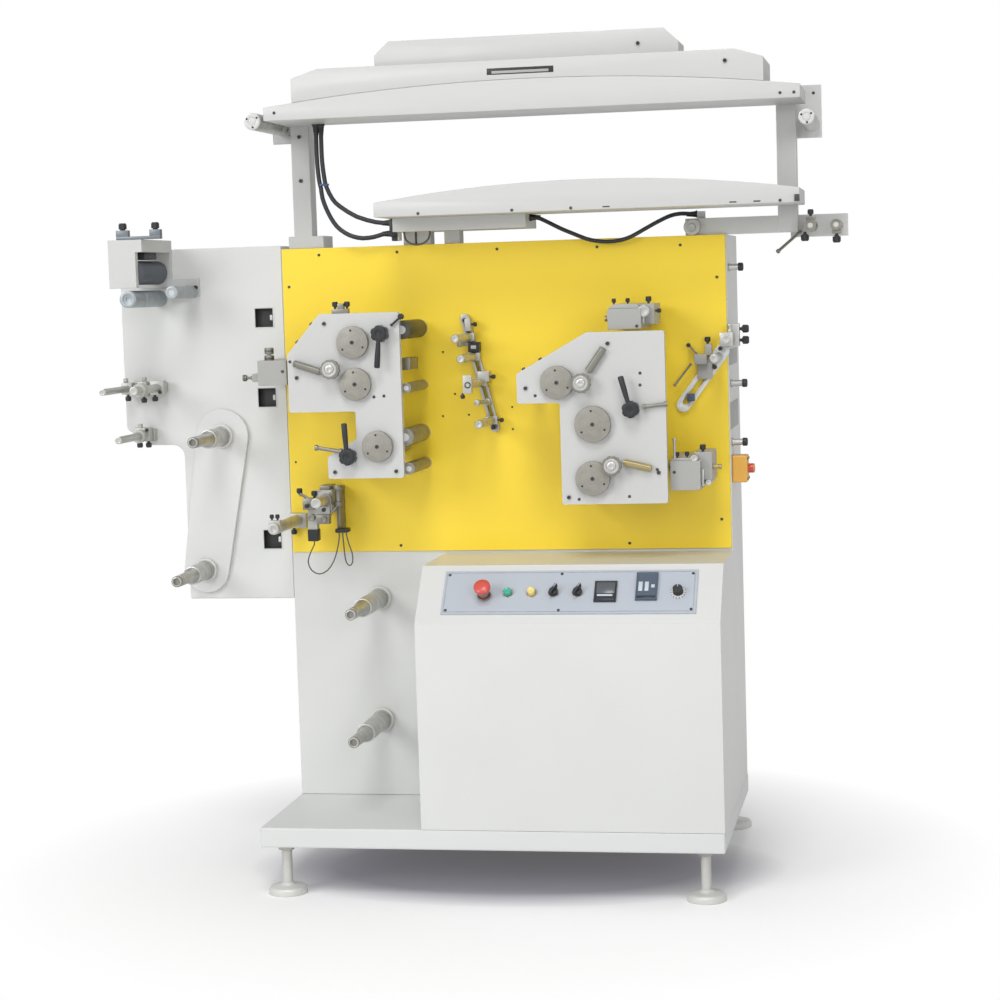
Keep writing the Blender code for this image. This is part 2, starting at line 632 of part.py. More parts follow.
# Base and feet
def build_base():
    """Make the base, the rear beam and the four levelling feet."""
    box("base_frame", (BASE_LEFT, BASE_RIGHT), (BASE_FRONT, BASE_REAR), (BASE_BOTTOM, BASE_TOP),
        WHITE_PAINT, bevel=BASE_EDGE)
    rear_x = (BASE_LEFT + REAR_BEAM_END, BASE_RIGHT - REAR_BEAM_END)
    box("rear_foot_beam", rear_x, (BASE_REAR + TOUCH, REAR_FOOT_Y + FOOT_RADIUS * REAR_BEAM_SHARE),
        (BASE_BOTTOM, BASE_BOTTOM + REAR_BEAM_THICKNESS), WHITE_PAINT, bevel=REAR_BEAM_EDGE)
    stem_top = BASE_BOTTOM - TOUCH
    crown = FOOT_THICKNESS - FOOT_SLOPE
    profile = ((0.0, stem_top), (FOOT_STEM_RADIUS, stem_top), (FOOT_STEM_RADIUS, FOOT_THICKNESS + FOOT_NECK),
               (FOOT_STEM_RADIUS + FOOT_NECK, FOOT_THICKNESS), (FOOT_RADIUS - FOOT_EDGE, crown),
               (FOOT_RADIUS, crown - FOOT_RIM), (FOOT_RADIUS, 0.0), (0.0, 0.0))
    front = BASE_FRONT + FOOT_INSET_Y
    places = {"foot_front_left": (BASE_LEFT + FOOT_INSET_X, front),
              "foot_front_right": (BASE_RIGHT - FOOT_INSET_X, front),
              "foot_rear_left": (BASE_LEFT + FOOT_INSET_X, REAR_FOOT_Y),
              "foot_rear_right": (BASE_RIGHT - FOOT_INSET_X, REAR_FOOT_Y)}
    for name, (x, y) in places.items():
        turned(name, profile, (x, y, 0.0), (0.0, 0.0, 0.0), WHITE_PAINT)


# Housing, panels and wing
def build_housing():
    """Make the housing, the yellow panel and the wing with its three square grips."""
    box("main_housing", (-HALF_PANEL, HALF_PANEL), (0.0, HOUSING_DEPTH), (BASE_TOP + TOUCH, HOUSING_TOP),
        WHITE_PAINT, bevel=HOUSING_EDGE)
    yellow_half = HALF_PANEL - YELLOW_SIDE_MARGIN
    box("yellow_panel", (-yellow_half, yellow_half), (-YELLOW_THICKNESS - TOUCH, -TOUCH),
        (YELLOW_BOTTOM, HOUSING_TOP), YELLOW_PAINT, bevel=YELLOW_EDGE)
    right = -HALF_PANEL - TOUCH
    outline = [(right, WING_TOP), (WING_LEFT, WING_TOP), (WING_LEFT, WING_SHOULDER),
               (WING_LEFT + WING_SHOULDER_RUN, WING_WAIST), (WING_WAIST_LEFT, WING_WAIST),
               (WING_WAIST_LEFT, WING_BOTTOM), (right, WING_BOTTOM)]
    shaped = outline[:2] + rounded_corner(outline[1], outline[2], outline[3], WING_CORNER / 2) \
        + [outline[3]] + rounded_corner(outline[3], outline[4], outline[5], WING_CORNER) + outline[5:]
    wing = as_solid(plate("wing_housing", [shaped], 0.0, WING_DEPTH, WHITE_PAINT))
    for number, drop in enumerate(GRIP_DROPS, 1):
        height = WING_TOP - drop
        cut(wing, box("grip_pocket_%d" % number, (GRIP_X - GRIP_WIDTH / 2, GRIP_X + GRIP_WIDTH / 2),
                      (-TOOL_OVERLAP, GRIP_DEPTH), (height - GRIP_HEIGHT / 2, height + GRIP_HEIGHT / 2),
                      BLACK_PLASTIC))
    arm = hull_of_circles(ARM_LOWER, ARM_LOWER_RADIUS, ARM_UPPER, ARM_UPPER_RADIUS)
    plate("reel_arm_plate", [arm], -ARM_THICKNESS - TOUCH, ARM_THICKNESS, WHITE_PAINT)


def rounded_corner(before, corner, after, radius, steps=5):
    """Return the arc that rounds one corner of an outline."""
    return rounded([before, corner, after], radius, steps)[steps + 1:2 * (steps + 1)]


# Reel spindles
def build_spindle(name, x, z, face, reach):
    """Make one reel spindle: pin, flange, core and slimmer tip, on a face at a depth."""
    flange = face + RUN
    core = flange + SPINDLE_FLANGE_THICKNESS
    step = reach - SPINDLE_TIP_LENGTH
    profile = ((0.0, reach), (SPINDLE_TIP_RADIUS - END_EDGE, reach), (SPINDLE_TIP_RADIUS, reach - END_EDGE),
               (SPINDLE_TIP_RADIUS, step + SPINDLE_TAPER), (SPINDLE_CORE_RADIUS, step),
               (SPINDLE_CORE_RADIUS, core),
               (SPINDLE_FLANGE_RADIUS, core), (SPINDLE_FLANGE_RADIUS, flange), (SPINDLE_PIN_RADIUS, flange),
               (SPINDLE_PIN_RADIUS, face + TOUCH), (0.0, face + TOUCH))
    turned(name, profile, (x, 0.0, z), TOWARDS_OPERATOR, STEEL)


def build_spindles():
    """Make the two spindles on the wing and the two on the lower panel."""
    arm_face = ARM_THICKNESS + TOUCH
    build_spindle("wing_spindle_upper", *ARM_UPPER, arm_face, WING_SPINDLE_REACH)
    build_spindle("wing_spindle_lower", *ARM_LOWER, arm_face, WING_SPINDLE_REACH)
    for name, (x, z) in zip(("panel_spindle_upper", "panel_spindle_lower"), PANEL_SPINDLES):
        build_spindle(name, x, z, 0.0, PANEL_SPINDLE_REACH)


# Console
def build_console():
    """Make the console, its control plate and every control on it."""
    profile = [(BASE_FRONT, BASE_TOP + TOUCH), (BASE_FRONT, CONSOLE_SLOPE_FOOT),
               (CONSOLE_SLOPE_REAR, CONSOLE_TOP), (-TOUCH, CONSOLE_TOP), (-TOUCH, BASE_TOP + TOUCH)]
    width = HALF_PANEL - CONSOLE_LEFT
    middle = (HALF_PANEL + CONSOLE_LEFT) / 2
    console = as_solid(outline_piece("console_cabinet", [profile], width, (middle, 0.0, 0.0), ALONG_X,
                                     WHITE_PAINT))
    run = CONSOLE_SLOPE_REAR - BASE_FRONT
    rise = CONSOLE_TOP - CONSOLE_SLOPE_FOOT
    slope = bpy.data.objects.new("console_slope", None)
    slope.location = (middle, BASE_FRONT + run / 2, CONSOLE_SLOPE_FOOT + rise / 2)
    slope.rotation_euler = (math.atan2(rise, run), 0.0, 0.0)
    slope.parent = FRAME
    PARTS.objects.link(slope)
    stems = {STOP_PLACE: STOP_STEM_RADIUS, START_PLACE: BUTTON_RADIUS, RESET_PLACE: BUTTON_RADIUS,
             KNOB_PLACE: KNOB_STEM_RADIUS}
    for place in SELECTOR_PLACES.values():
        stems[place] = SELECTOR_STEM_RADIUS
    for number, ((u, v), radius) in enumerate(stems.items(), 1):
        bore = ((0.0, TOOL_OVERLAP), (radius + PIN_FIT, TOOL_OVERLAP), (radius + PIN_FIT, -POCKET_DEPTH),
                (0.0, -POCKET_DEPTH))
        cut(console, turned("console_bore_%d" % number, bore, (u, v, 0.0), (0.0, 0.0, 0.0), GREY_PAINT,
                            parent=slope))
    build_control_plate(slope, stems)
    build_controls(slope)


def build_control_plate(slope, stems):
    """Make the control plate with its holes, collars, bezels and two controllers."""
    u, v = CONTROL_PLATE_CENTRE
    half_u = CONTROL_PLATE_WIDTH / 2
    half_v = CONTROL_PLATE_HEIGHT / 2
    top = TOUCH + CONTROL_PLATE_THICKNESS
    corners = [(u - half_u, v - half_v), (u + half_u, v - half_v), (u + half_u, v + half_v),
               (u - half_u, v + half_v)]
    # Each hole is turned a little further, because corners of several holes in one line leave open edges.
    holes = [circle(*place, radius + PIN_FIT, phase=number / len(stems))
             for number, (place, radius) in enumerate(stems.items())]
    face = as_solid(outline_piece("control_plate", [corners] + holes, CONTROL_PLATE_THICKNESS,
                                  (0.0, 0.0, (TOUCH + top) / 2), (0.0, 0.0, 0.0), CONTROL_FACE, parent=slope))
    rings = [(STOP_PLACE, STOP_COLLAR_RADIUS, STOP_COLLAR_HEIGHT)]
    for place in (START_PLACE, RESET_PLACE, *SELECTOR_PLACES.values()):
        rings.append((place, BUTTON_BEZEL_RADIUS, BUTTON_BEZEL_HEIGHT))
    for number, (place, radius, height) in enumerate(rings, 1):
        inner = stems[place] + PIN_FIT + RING_STEP
        profile = ((inner, height), (radius - RING_STEP, height), (radius, height - RING_STEP),
                   (radius, top / 2),
                   (inner, top / 2))
        join(face, turned("ring_%d" % number, profile, (*place, 0.0), (0.0, 0.0, 0.0), CONTROL_FACE,
                          parent=slope, ring=True))
    for number, ((x, y), (wide, high), height) in enumerate(CONTROLLERS, 1):
        join(face, box("controller_%d" % number, (x - wide / 2, x + wide / 2), (y - high / 2, y + high / 2),
                       (top / 2, height), BLACK_PLASTIC, parent=slope))


def build_controls(slope):
    """Make the emergency stop, the two push buttons, the selectors and the speed knob."""
    head = STOP_COLLAR_HEIGHT + STOP_TRAVEL + STOP_SPARE + STOP_NECK
    stop = ((0.0, head + STOP_HEAD_HEIGHT), (STOP_HEAD_RADIUS * STOP_CROWN_SHARE, head + STOP_HEAD_CROWN),
            (STOP_HEAD_RADIUS, head + STOP_HEAD_SIDE), (STOP_HEAD_RADIUS, head), (STOP_STEM_RADIUS, head),
            (STOP_STEM_RADIUS, -BUTTON_STEM), (0.0, -BUTTON_STEM))
    turned("emergency_stop", stop, (*STOP_PLACE, 0.0), (0.0, 0.0, 0.0), RED_PLASTIC, parent=slope)
    cap = BUTTON_BEZEL_HEIGHT + BUTTON_PROUD
    button = ((0.0, cap), (BUTTON_RADIUS - BUTTON_EDGE, cap), (BUTTON_RADIUS, cap - BUTTON_EDGE),
              (BUTTON_RADIUS, -BUTTON_STEM), (0.0, -BUTTON_STEM))
    turned("start_button", button, (*START_PLACE, 0.0), (0.0, 0.0, 0.0), GREEN_PLASTIC, parent=slope)
    turned("reset_button", button, (*RESET_PLACE, 0.0), (0.0, 0.0, 0.0), AMBER_PLASTIC, parent=slope)
    foot = BUTTON_BEZEL_HEIGHT + TOUCH
    top = foot + SELECTOR_HEIGHT
    knob = ((0.0, top), (SELECTOR_RADIUS, top), (SELECTOR_RADIUS, foot), (SELECTOR_STEM_RADIUS, foot),
            (SELECTOR_STEM_RADIUS, -BUTTON_STEM), (0.0, -BUTTON_STEM))
    wide, long, high = SELECTOR_GRIP
    for name, (u, v) in SELECTOR_PLACES.items():
        selector = turned(name, knob, (u, v, 0.0), (0.0, 0.0, 0.0), BLACK_PLASTIC, parent=slope)
        join(selector, box(name + "_grip", (u - wide / 2, u + wide / 2), (v - long / 2, v + long / 2),
                           (top - SELECTOR_GRIP_ROOT, top + high), BLACK_PLASTIC, parent=slope))
    foot = TOUCH * 2 + CONTROL_PLATE_THICKNESS
    speed = ((0.0, foot + KNOB_HEIGHT), (KNOB_RADIUS - BUTTON_EDGE, foot + KNOB_HEIGHT),
             (KNOB_RADIUS, foot + KNOB_HEIGHT - BUTTON_EDGE), (KNOB_RADIUS, foot), (KNOB_STEM_RADIUS, foot),
             (KNOB_STEM_RADIUS, -BUTTON_STEM), (0.0, -BUTTON_STEM))
    turned("speed_knob", speed, (*KNOB_PLACE, 0.0), (0.0, 0.0, 0.0), BLACK_PLASTIC, parent=slope)


# Print units
def build_cylinder(name, x, z, radius, disc_radius, disc_start, disc_thickness):
    """Make one cylinder: rear pin, body, journal through the unit plate and disc before it."""
    pin = -PANEL_FACE
    body = pin + RUN
    body_end = -UNIT_FRONT - UNIT_THICKNESS - RUN
    face = disc_start + disc_thickness
    profile = ((0.0, face), (disc_radius - DISC_EDGE, face), (disc_radius, face - DISC_EDGE),
               (disc_radius, disc_start), (JOURNAL_RADIUS, disc_start), (JOURNAL_RADIUS, body_end),
               (radius, body_end), (radius, body), (JOURNAL_RADIUS, body), (JOURNAL_RADIUS, pin + TOUCH),
               (0.0, pin + TOUCH))
    turned(name, profile, (x, 0.0, z), TOWARDS_OPERATOR, STEEL)


def build_lever(name, x, z, lean):
    """Make one clamp lever: pin in the plate, hub, and a handle that leans at an angle."""
    start = -UNIT_FRONT
    hub_foot = start + TOUCH
    end = hub_foot + LEVER_HUB_LENGTH
    pin_end = start - UNIT_THICKNESS + TOUCH
    profile = ((0.0, end), (LEVER_HUB_RADIUS - END_EDGE, end), (LEVER_HUB_RADIUS, end - END_EDGE),
               (LEVER_HUB_RADIUS, hub_foot), (LEVER_PIN_RADIUS, hub_foot), (LEVER_PIN_RADIUS, pin_end),
               (0.0, pin_end))
    lever = turned(name, profile, (x, 0.0, z), TOWARDS_OPERATOR, BLACK_PLASTIC)
    height = end - LEVER_GRIP_DROP
    neck = LEVER_GRIP_RADIUS * LEVER_GRIP_NECK
    grip = ((0.0, LEVER_REACH), (neck, LEVER_REACH), (LEVER_GRIP_RADIUS, LEVER_REACH - LEVER_GRIP_END),
            (neck, LEVER_GRIP_ROOT), (neck, 0.0), (0.0, 0.0))
    angle = math.radians(lean)
    turn = (0.0, math.pi / 2 - angle, 0.0)
    handle = turned(name + "_handle", grip, (x, -height, z), turn, BLACK_PLASTIC, sides=12)
    return join(lever, handle)


def build_unit(name, outline, cylinders, ink_rollers, levers, ties, idlers=()):
    """Make one print unit: plate with ties, cylinders, ink rollers and levers."""
    disc_start = -UNIT_FRONT + TOUCH
    hub_start = disc_start + DISC_THICKNESS + RUN
    holes = [circle(x, z, JOURNAL_RADIUS + PIN_FIT) for x, z, _ in cylinders.values()]
    holes += [circle(x, z, JOURNAL_RADIUS + PIN_FIT) for x, z in ink_rollers.values()]
    holes += [circle(x, z, LEVER_PIN_RADIUS + PIN_FIT) for x, z, _ in levers.values()]
    face = as_solid(plate(name, [rounded(outline, UNIT_CORNER)] + holes, UNIT_FRONT, UNIT_THICKNESS,
                          WHITE_PAINT))
    back = -UNIT_FRONT - UNIT_THICKNESS
    for number, (x, z) in enumerate(ties, 1):
        join(face, rod("%s_tie_%d" % (name, number), TIE_RADIUS, -PANEL_FACE + TOUCH, back + TOOL_OVERLAP,
                       x, z, STEEL, sides=12))
    for number, (x, z, radius) in enumerate(idlers, 1):
        join(face, rod("%s_idler_%d" % (name, number), radius, -PANEL_FACE + TOUCH, back + TOOL_OVERLAP,
                       x, z, STEEL, sides=16))
    for label, (x, z, disc) in cylinders.items():
        build_cylinder(label, x, z, CYLINDER_RADIUS, disc, disc_start, DISC_THICKNESS)
    for label, (x, z) in ink_rollers.items():
        build_cylinder(label, x, z, INK_ROLLER_RADIUS, INK_HUB_RADIUS, hub_start, INK_HUB_THICKNESS)
    for label, (x, z, lean) in levers.items():
        build_lever(label, x, z, lean)


def build_ink_units():
    """Make the three ink units, each a housing with a smaller housing joined to it."""
    for name, (main, side) in INK_UNITS.items():
        housing = box(name, main[:2], (INK_UNIT_FRONT, PANEL_FACE - TOUCH), main[2:], GREY_PAINT)
        depth = (INK_UNIT_FRONT + INK_UNIT_STEP, PANEL_FACE - INK_UNIT_STEP)
        join(housing, box(name + "_side", side[:2], depth, side[2:], GREY_PAINT))


# Nip unit and wing guides
def build_nip_unit():
    """Make the nip bracket, its rubber roller and the draw roller below."""
    bracket = box("nip_bracket", (NIP_LEFT, NIP_RIGHT), (NIP_FRONT, -TOUCH), (NIP_BAR_BOTTOM, NIP_TOP),
                  WHITE_PAINT)
    low = (NIP_CHEEK_BOTTOM, NIP_BAR_BOTTOM + TOOL_OVERLAP)
    join(bracket,
         box("nip_cheek", (NIP_LEFT, NIP_CHEEK_RIGHT), (NIP_FRONT, NIP_FRONT + NIP_CHEEK_THICKNESS), low,
             WHITE_PAINT),
         box("nip_back", (NIP_LEFT, NIP_RIGHT), (-NIP_BACK_THICKNESS, -TOUCH), low, WHITE_PAINT),
         box("nip_pad", (NIP_ROLLER_X - NIP_PAD_HALF, NIP_ROLLER_X + NIP_PAD_HALF), NIP_PAD_REACH,
             (NIP_ROLLER_Z + NIP_ROLLER_RADIUS + RUN, NIP_BAR_BOTTOM + TOOL_OVERLAP), BLACK_PLASTIC),
         box("small_roller_arm", (NIP_RIGHT - TOOL_OVERLAP, SMALL_ROLLER[0] + SMALL_ROLLER_RADIUS),
             (-NIP_BACK_THICKNESS, -TOUCH),
             (SMALL_ROLLER[1] - SMALL_ARM_DROP, NIP_CHEEK_BOTTOM + SMALL_ARM_RISE), WHITE_PAINT),
         rod("small_roller", SMALL_ROLLER_RADIUS, NIP_BACK_THICKNESS / 2, SMALL_ROLLER_REACH, *SMALL_ROLLER,
             STEEL, sides=16))
    cheek = -NIP_FRONT - NIP_CHEEK_THICKNESS
    start = NIP_BACK_THICKNESS + RUN
    end = cheek - RUN
    profile = ((0.0, cheek - TOUCH), (JOURNAL_RADIUS, cheek - TOUCH), (JOURNAL_RADIUS, end),
               (NIP_ROLLER_RADIUS, end), (NIP_ROLLER_RADIUS, start), (JOURNAL_RADIUS, start),
               (JOURNAL_RADIUS, NIP_BACK_THICKNESS + TOUCH), (0.0, NIP_BACK_THICKNESS + TOUCH))
    turned("nip_roller", profile, (NIP_ROLLER_X, 0.0, NIP_ROLLER_Z), TOWARDS_OPERATOR, RUBBER)
    draw = ((0.0, DRAW_ROLLER_REACH), (DRAW_ROLLER_RADIUS - END_EDGE, DRAW_ROLLER_REACH),
            (DRAW_ROLLER_RADIUS, DRAW_ROLLER_REACH - END_EDGE), (DRAW_ROLLER_RADIUS, RUN),
            (JOURNAL_RADIUS, RUN),
            (JOURNAL_RADIUS, TOUCH), (0.0, TOUCH))
    turned("draw_roller", draw, (NIP_ROLLER_X, 0.0, DRAW_ROLLER_Z), TOWARDS_OPERATOR, STEEL)


def build_wing_guides():
    """Make the two guides at the wing's left edge."""
    depth = (-GUIDE_ARM_THICKNESS, -TOUCH)
    upper = box("wing_guide_upper", UPPER_GUIDE_ARM[:2], depth, UPPER_GUIDE_ARM[2:], STEEL)
    for number, (x, z, radius) in enumerate(UPPER_GUIDE_RODS, 1):
        join(upper, rod("upper_guide_rod_%d" % number, radius, GUIDE_ARM_THICKNESS / 2, GUIDE_REACH, x, z,
                        STEEL, sides=12))
    x, z, radius = UPPER_GUIDE_RODS[1]
    join(upper, rod("upper_guide_collar", GUIDE_COLLAR_RADIUS, UPPER_COLLAR_START,
                    UPPER_COLLAR_START + GUIDE_COLLAR_LENGTH, x, z, STEEL, sides=16))
    lower = box("wing_guide_lower", LOWER_GUIDE_ARM[:2], depth, LOWER_GUIDE_ARM[2:], STEEL)
    x, z, radius = LOWER_GUIDE_ROD
    join(lower, rod("lower_guide_rod", radius, GUIDE_ARM_THICKNESS / 2, GUIDE_REACH, x, z, STEEL, sides=12),
         rod("lower_guide_collar", GUIDE_COLLAR_RADIUS, LOWER_COLLAR_START,
             LOWER_COLLAR_START + GUIDE_COLLAR_LENGTH, x, z, STEEL, sides=16))


# Guides on the yellow panel
def build_panel_guides():
    """Make the lower left roller, the sensor cluster, the centre guide bar and the slotted arm."""
    near = -PANEL_FACE + TOUCH
    x, z, radius = LOWER_LEFT_ROLLER
    rod("lower_left_roller", radius, near, LOWER_LEFT_REACH, x, z, STEEL)
    back = (PANEL_FACE - CLUSTER_DEPTH, PANEL_FACE - TOUCH)
    cluster = box("sensor_cluster", CLUSTER_BLOCK[:2], back, CLUSTER_BLOCK[2:], STEEL)
    x, z, radius = CLUSTER_ROLLER
    join(cluster, box("cluster_arm", CLUSTER_ARM[:2], CLUSTER_ARM_REACH, CLUSTER_ARM[2:], STEEL),
         box("cluster_link", (CLUSTER_ARM[0], CLUSTER_BLOCK[0] + TOOL_OVERLAP), CLUSTER_ARM_REACH,
             (CLUSTER_ARM[3] - CLUSTER_LINK_HEIGHT, CLUSTER_ARM[3]), STEEL),
         box("cluster_head", (CLUSTER_ARM[1] - TOOL_OVERLAP, CLUSTER_BLOCK[1] - TOOL_OVERLAP),
             CLUSTER_ARM_REACH, (CLUSTER_BLOCK[2] - BLOCK_STEP, CLUSTER_BLOCK[3] - TOOL_OVERLAP), STEEL),
         rod("cluster_roller", radius, CLUSTER_DEPTH, CLUSTER_REACH, x, z, STEEL, sides=16))
    build_centre_bar(near)
    build_slotted_arm(near)


def build_centre_bar(near):
    """Make the slanted bar with its four guide rollers."""
    top = Vector(CENTRE_BAR_TOP)
    foot = Vector(CENTRE_BAR_FOOT)
    side = (foot - top).normalized().orthogonal() * CENTRE_BAR_WIDTH / 2
    outline = [tuple(top + side), tuple(top - side), tuple(foot - side), tuple(foot + side)]
    bar = as_solid(plate("centre_guide_bar", [rounded(outline, CENTRE_BAR_WIDTH / 3)],
                         -near - CENTRE_BAR_THICKNESS, CENTRE_BAR_THICKNESS, STEEL))
    for number, share in enumerate(CENTRE_ROLLER_SHARES, 1):
        x, z = top.lerp(foot, share)
        join(bar, rod("centre_roller_%d" % number, CENTRE_ROLLER_RADIUS, near + CENTRE_BAR_THICKNESS / 2,
                      CENTRE_ROLLER_REACH, x, z, STEEL, sides=16))


def build_slotted_arm(near):
    """Make the slotted arm with the stud at its head."""
    foot = Vector(ARM_FOOT)
    head = Vector(ARM_HEAD)
    slot_low, slot_high = (foot.lerp(head, share) for share in ARM_SLOT_SHARES)
    outline = hull_of_circles(foot, ARM_WIDTH / 2, head, ARM_WIDTH / 2, steps=8)
    slot = hull_of_circles(slot_low, ARM_SLOT_WIDTH / 2, slot_high, ARM_SLOT_WIDTH / 2, steps=6)
    arm = as_solid(plate("slotted_arm", [outline, slot], -near - ARM_PLATE_THICKNESS, ARM_PLATE_THICKNESS,
                         STEEL))
    x, z, radius = ARM_STUD
    join(arm, rod("arm_stud", radius, near + ARM_PLATE_THICKNESS / 2, ARM_STUD_REACH, x, z, STEEL, sides=16))


def build_switch_box():
    """Make the safety switch on the housing's right side."""
    left = HALF_PANEL + TOUCH
    case = box("switch_box", (left, left + SWITCH_DEPTH),
               (SWITCH_Y - SWITCH_LENGTH / 2, SWITCH_Y + SWITCH_LENGTH / 2),
               (SWITCH_Z - SWITCH_HEIGHT / 2, SWITCH_Z + SWITCH_HEIGHT / 2), ORANGE_PLASTIC,
               bevel=SWITCH_EDGE)
    button = ((0.0, SWITCH_BUTTON_REACH), (SWITCH_BUTTON_RADIUS, SWITCH_BUTTON_REACH),
              (SWITCH_BUTTON_RADIUS, -TOOL_OVERLAP), (0.0, -TOOL_OVERLAP))
    join(case, turned("switch_button", button, (left + SWITCH_DEPTH, SWITCH_Y, SWITCH_Z), TO_THE_RIGHT,
                      RED_PLASTIC, sides=16))


# Dryer frame
def build_posts():
    """Make the left post with its foot and bracket, and the right post with beam and brackets."""
    depth = (POST_FRONT, POST_FRONT + POST_DEPTH)
    foot_top = HOUSING_TOP + TOUCH + POST_FOOT_HEIGHT
    post = box("left_post", LEFT_POST, depth, (foot_top - TOOL_OVERLAP, LEFT_POST_TOP), WHITE_PAINT)
    bracket = (POST_FRONT + POST_DEPTH - BRACKET_THICKNESS, POST_FRONT + POST_DEPTH)
    join(post, box("post_foot", POST_FOOT, (POST_FRONT, POST_FRONT + POST_FOOT_DEPTH),
                   (HOUSING_TOP + TOUCH, foot_top), WHITE_PAINT),
         box("left_bracket", LEFT_BRACKET[:2], bracket, LEFT_BRACKET[2:], GREY_PAINT),
         rod("left_top_roller", TOP_ROLLER_RADIUS, -bracket[1] + BRACKET_THICKNESS / 2, TOP_ROLLER_REACH,
             *LEFT_TOP_ROLLER, STEEL, sides=16))
    low = HOUSING_TOP + TOUCH
    frame = box("right_post", RIGHT_POST, depth, (low, RIGHT_POST_TOP), WHITE_PAINT)
    join(frame, box("right_beam", (BEAM_LEFT, RIGHT_POST[1] - TOOL_OVERLAP),
                    (depth[0] + BEAM_STEP, depth[1] - BEAM_STEP), (low, low + BEAM_HEIGHT), WHITE_PAINT),
         box("cable_gland", (BEAM_LEFT + CABLE_GLAND_RUN[0], BEAM_LEFT + CABLE_GLAND_RUN[1]),
             (CABLE_GLAND_Y - CABLE_GLAND_HALF, CABLE_GLAND_Y + CABLE_GLAND_HALF),
             (low + BEAM_HEIGHT - TOOL_OVERLAP, low + BEAM_HEIGHT + CABLE_GLAND_HEIGHT), BLACK_PLASTIC),
         box("right_plate", RIGHT_PLATE[:2], bracket, RIGHT_PLATE[2:], WHITE_PAINT),
         box("low_bracket", LOW_BRACKET[:2], bracket, LOW_BRACKET[2:], WHITE_PAINT),
         rod("right_top_roller", RIGHT_ROLLER_RADIUS, -bracket[1] + BRACKET_THICKNESS / 2, TOP_ROLLER_REACH,
             *RIGHT_TOP_ROLLER, STEEL, sides=16))
    for number, (x, z) in enumerate(LOW_HOLDERS, 1):
        join(frame, rod("low_holder_%d" % number, LOW_HOLDER_RADIUS, -bracket[1] + BRACKET_THICKNESS / 2,
                        LOW_HOLDER_REACH, x, z, STEEL, sides=16))


def arch(left, right, end, rise):
    """Return the points of a shallow arch from its right end to its left end."""
    points = []
    for k in range(ARCH_STEPS + 1):
        share = k / ARCH_STEPS
        points.append((right + (left - right) * share, end + rise * 4 * share * (1 - share)))
    return points


def build_dryers():
    """Make the upper tray, its lid and hood, and the lower dryer with the channel below it."""
    depth = POST_FRONT - TOUCH - DRYER_FRONT
    tray_arch = arch(TRAY_LEFT, TRAY_RIGHT, TRAY_END_TOP, TRAY_RISE)
    plate("upper_tray", [[(TRAY_LEFT, TRAY_BOTTOM), (TRAY_RIGHT, TRAY_BOTTOM)] + tray_arch], DRYER_FRONT,
          depth, WHITE_PAINT)
    seat = [(x, z + TOUCH) for x, z in tray_arch if LID_LEFT < x < LID_RIGHT]
    left_seat = (LID_LEFT, tray_top(LID_LEFT) + TOUCH)
    right_seat = (LID_RIGHT, tray_top(LID_RIGHT) + TOUCH)
    lid_top = [(LID_RIGHT, LID_END_TOP), (LID_RIGHT - LID_END_RUN, LID_TOP),
               (LID_LEFT + LID_END_RUN, LID_TOP), (LID_LEFT, LID_END_TOP)]
    lid = [left_seat] + seat[::-1] + [right_seat] + lid_top
    plate("upper_lid", [lid], DRYER_FRONT, depth, WHITE_PAINT)
    low = LID_TOP + TOUCH
    hood = [(HOOD_LEFT, low), (HOOD_RIGHT, low), (HOOD_RIGHT, low + HOOD_END_HEIGHT),
            (HOOD_RIGHT - HOOD_END_RUN, low + HOOD_HEIGHT), (HOOD_LEFT + HOOD_END_RUN, low + HOOD_HEIGHT),
            (HOOD_LEFT, low + HOOD_END_HEIGHT)]
    plate("top_hood", [hood], HOOD_FRONT, HOOD_REAR - HOOD_FRONT, WHITE_PAINT)
    lower_foot = [(LOWER_DRYER_LEFT, LOWER_DRYER_BOTTOM), (LOWER_DRYER_RIGHT, LOWER_DRYER_BOTTOM)]
    lower_arch = arch(LOWER_DRYER_LEFT, LOWER_DRYER_RIGHT, LOWER_DRYER_BOTTOM + LOWER_DRYER_END,
                      LOWER_DRYER_RISE)
    plate("lower_dryer", [lower_foot + lower_arch], DRYER_FRONT, depth, WHITE_PAINT)
    build_channel()


def tray_top(x):
    """Return the height of the tray's arched top at a place along it."""
    share = (TRAY_RIGHT - x) / (TRAY_RIGHT - TRAY_LEFT)
    return TRAY_END_TOP + TRAY_RISE * 4 * share * (1 - share)


def build_channel():
    """Make the channel under the lower dryer, on blocks that stand on the housing."""
    top = LOWER_DRYER_BOTTOM - TOUCH
    bottom = top - CHANNEL_HEIGHT
    depth = (CHANNEL_FRONT, POST_FRONT + POST_DEPTH)
    channel = box("dryer_channel", (CHANNEL_LEFT, CHANNEL_RIGHT), depth, (bottom, top), GREY_PAINT)
    for number, (start, end) in enumerate(CHANNEL_BLOCKS, 1):
        join(channel, box("channel_block_%d" % number, (CHANNEL_LEFT + start, CHANNEL_LEFT + end),
                          (POST_FRONT, POST_FRONT + POST_DEPTH - BLOCK_STEP),
                          (HOUSING_TOP + TOUCH, bottom + TOOL_OVERLAP), GREY_PAINT))
    join(channel, box("channel_gland", (CHANNEL_LEFT - GLAND_LENGTH, CHANNEL_LEFT + TOOL_OVERLAP),
                      (HOSE_Y - GLAND_HALF, HOSE_Y + GLAND_HALF), (bottom - GLAND_DROP, top - BLOCK_STEP),
                      BLACK_PLASTIC))


def leg(points, x, z):
    """Return a stretch of a hose or cable whose points, across, up and back, are given from a place."""
    return [(x + across, HOSE_Y + sum(back), z + up) for across, up, *back in points]


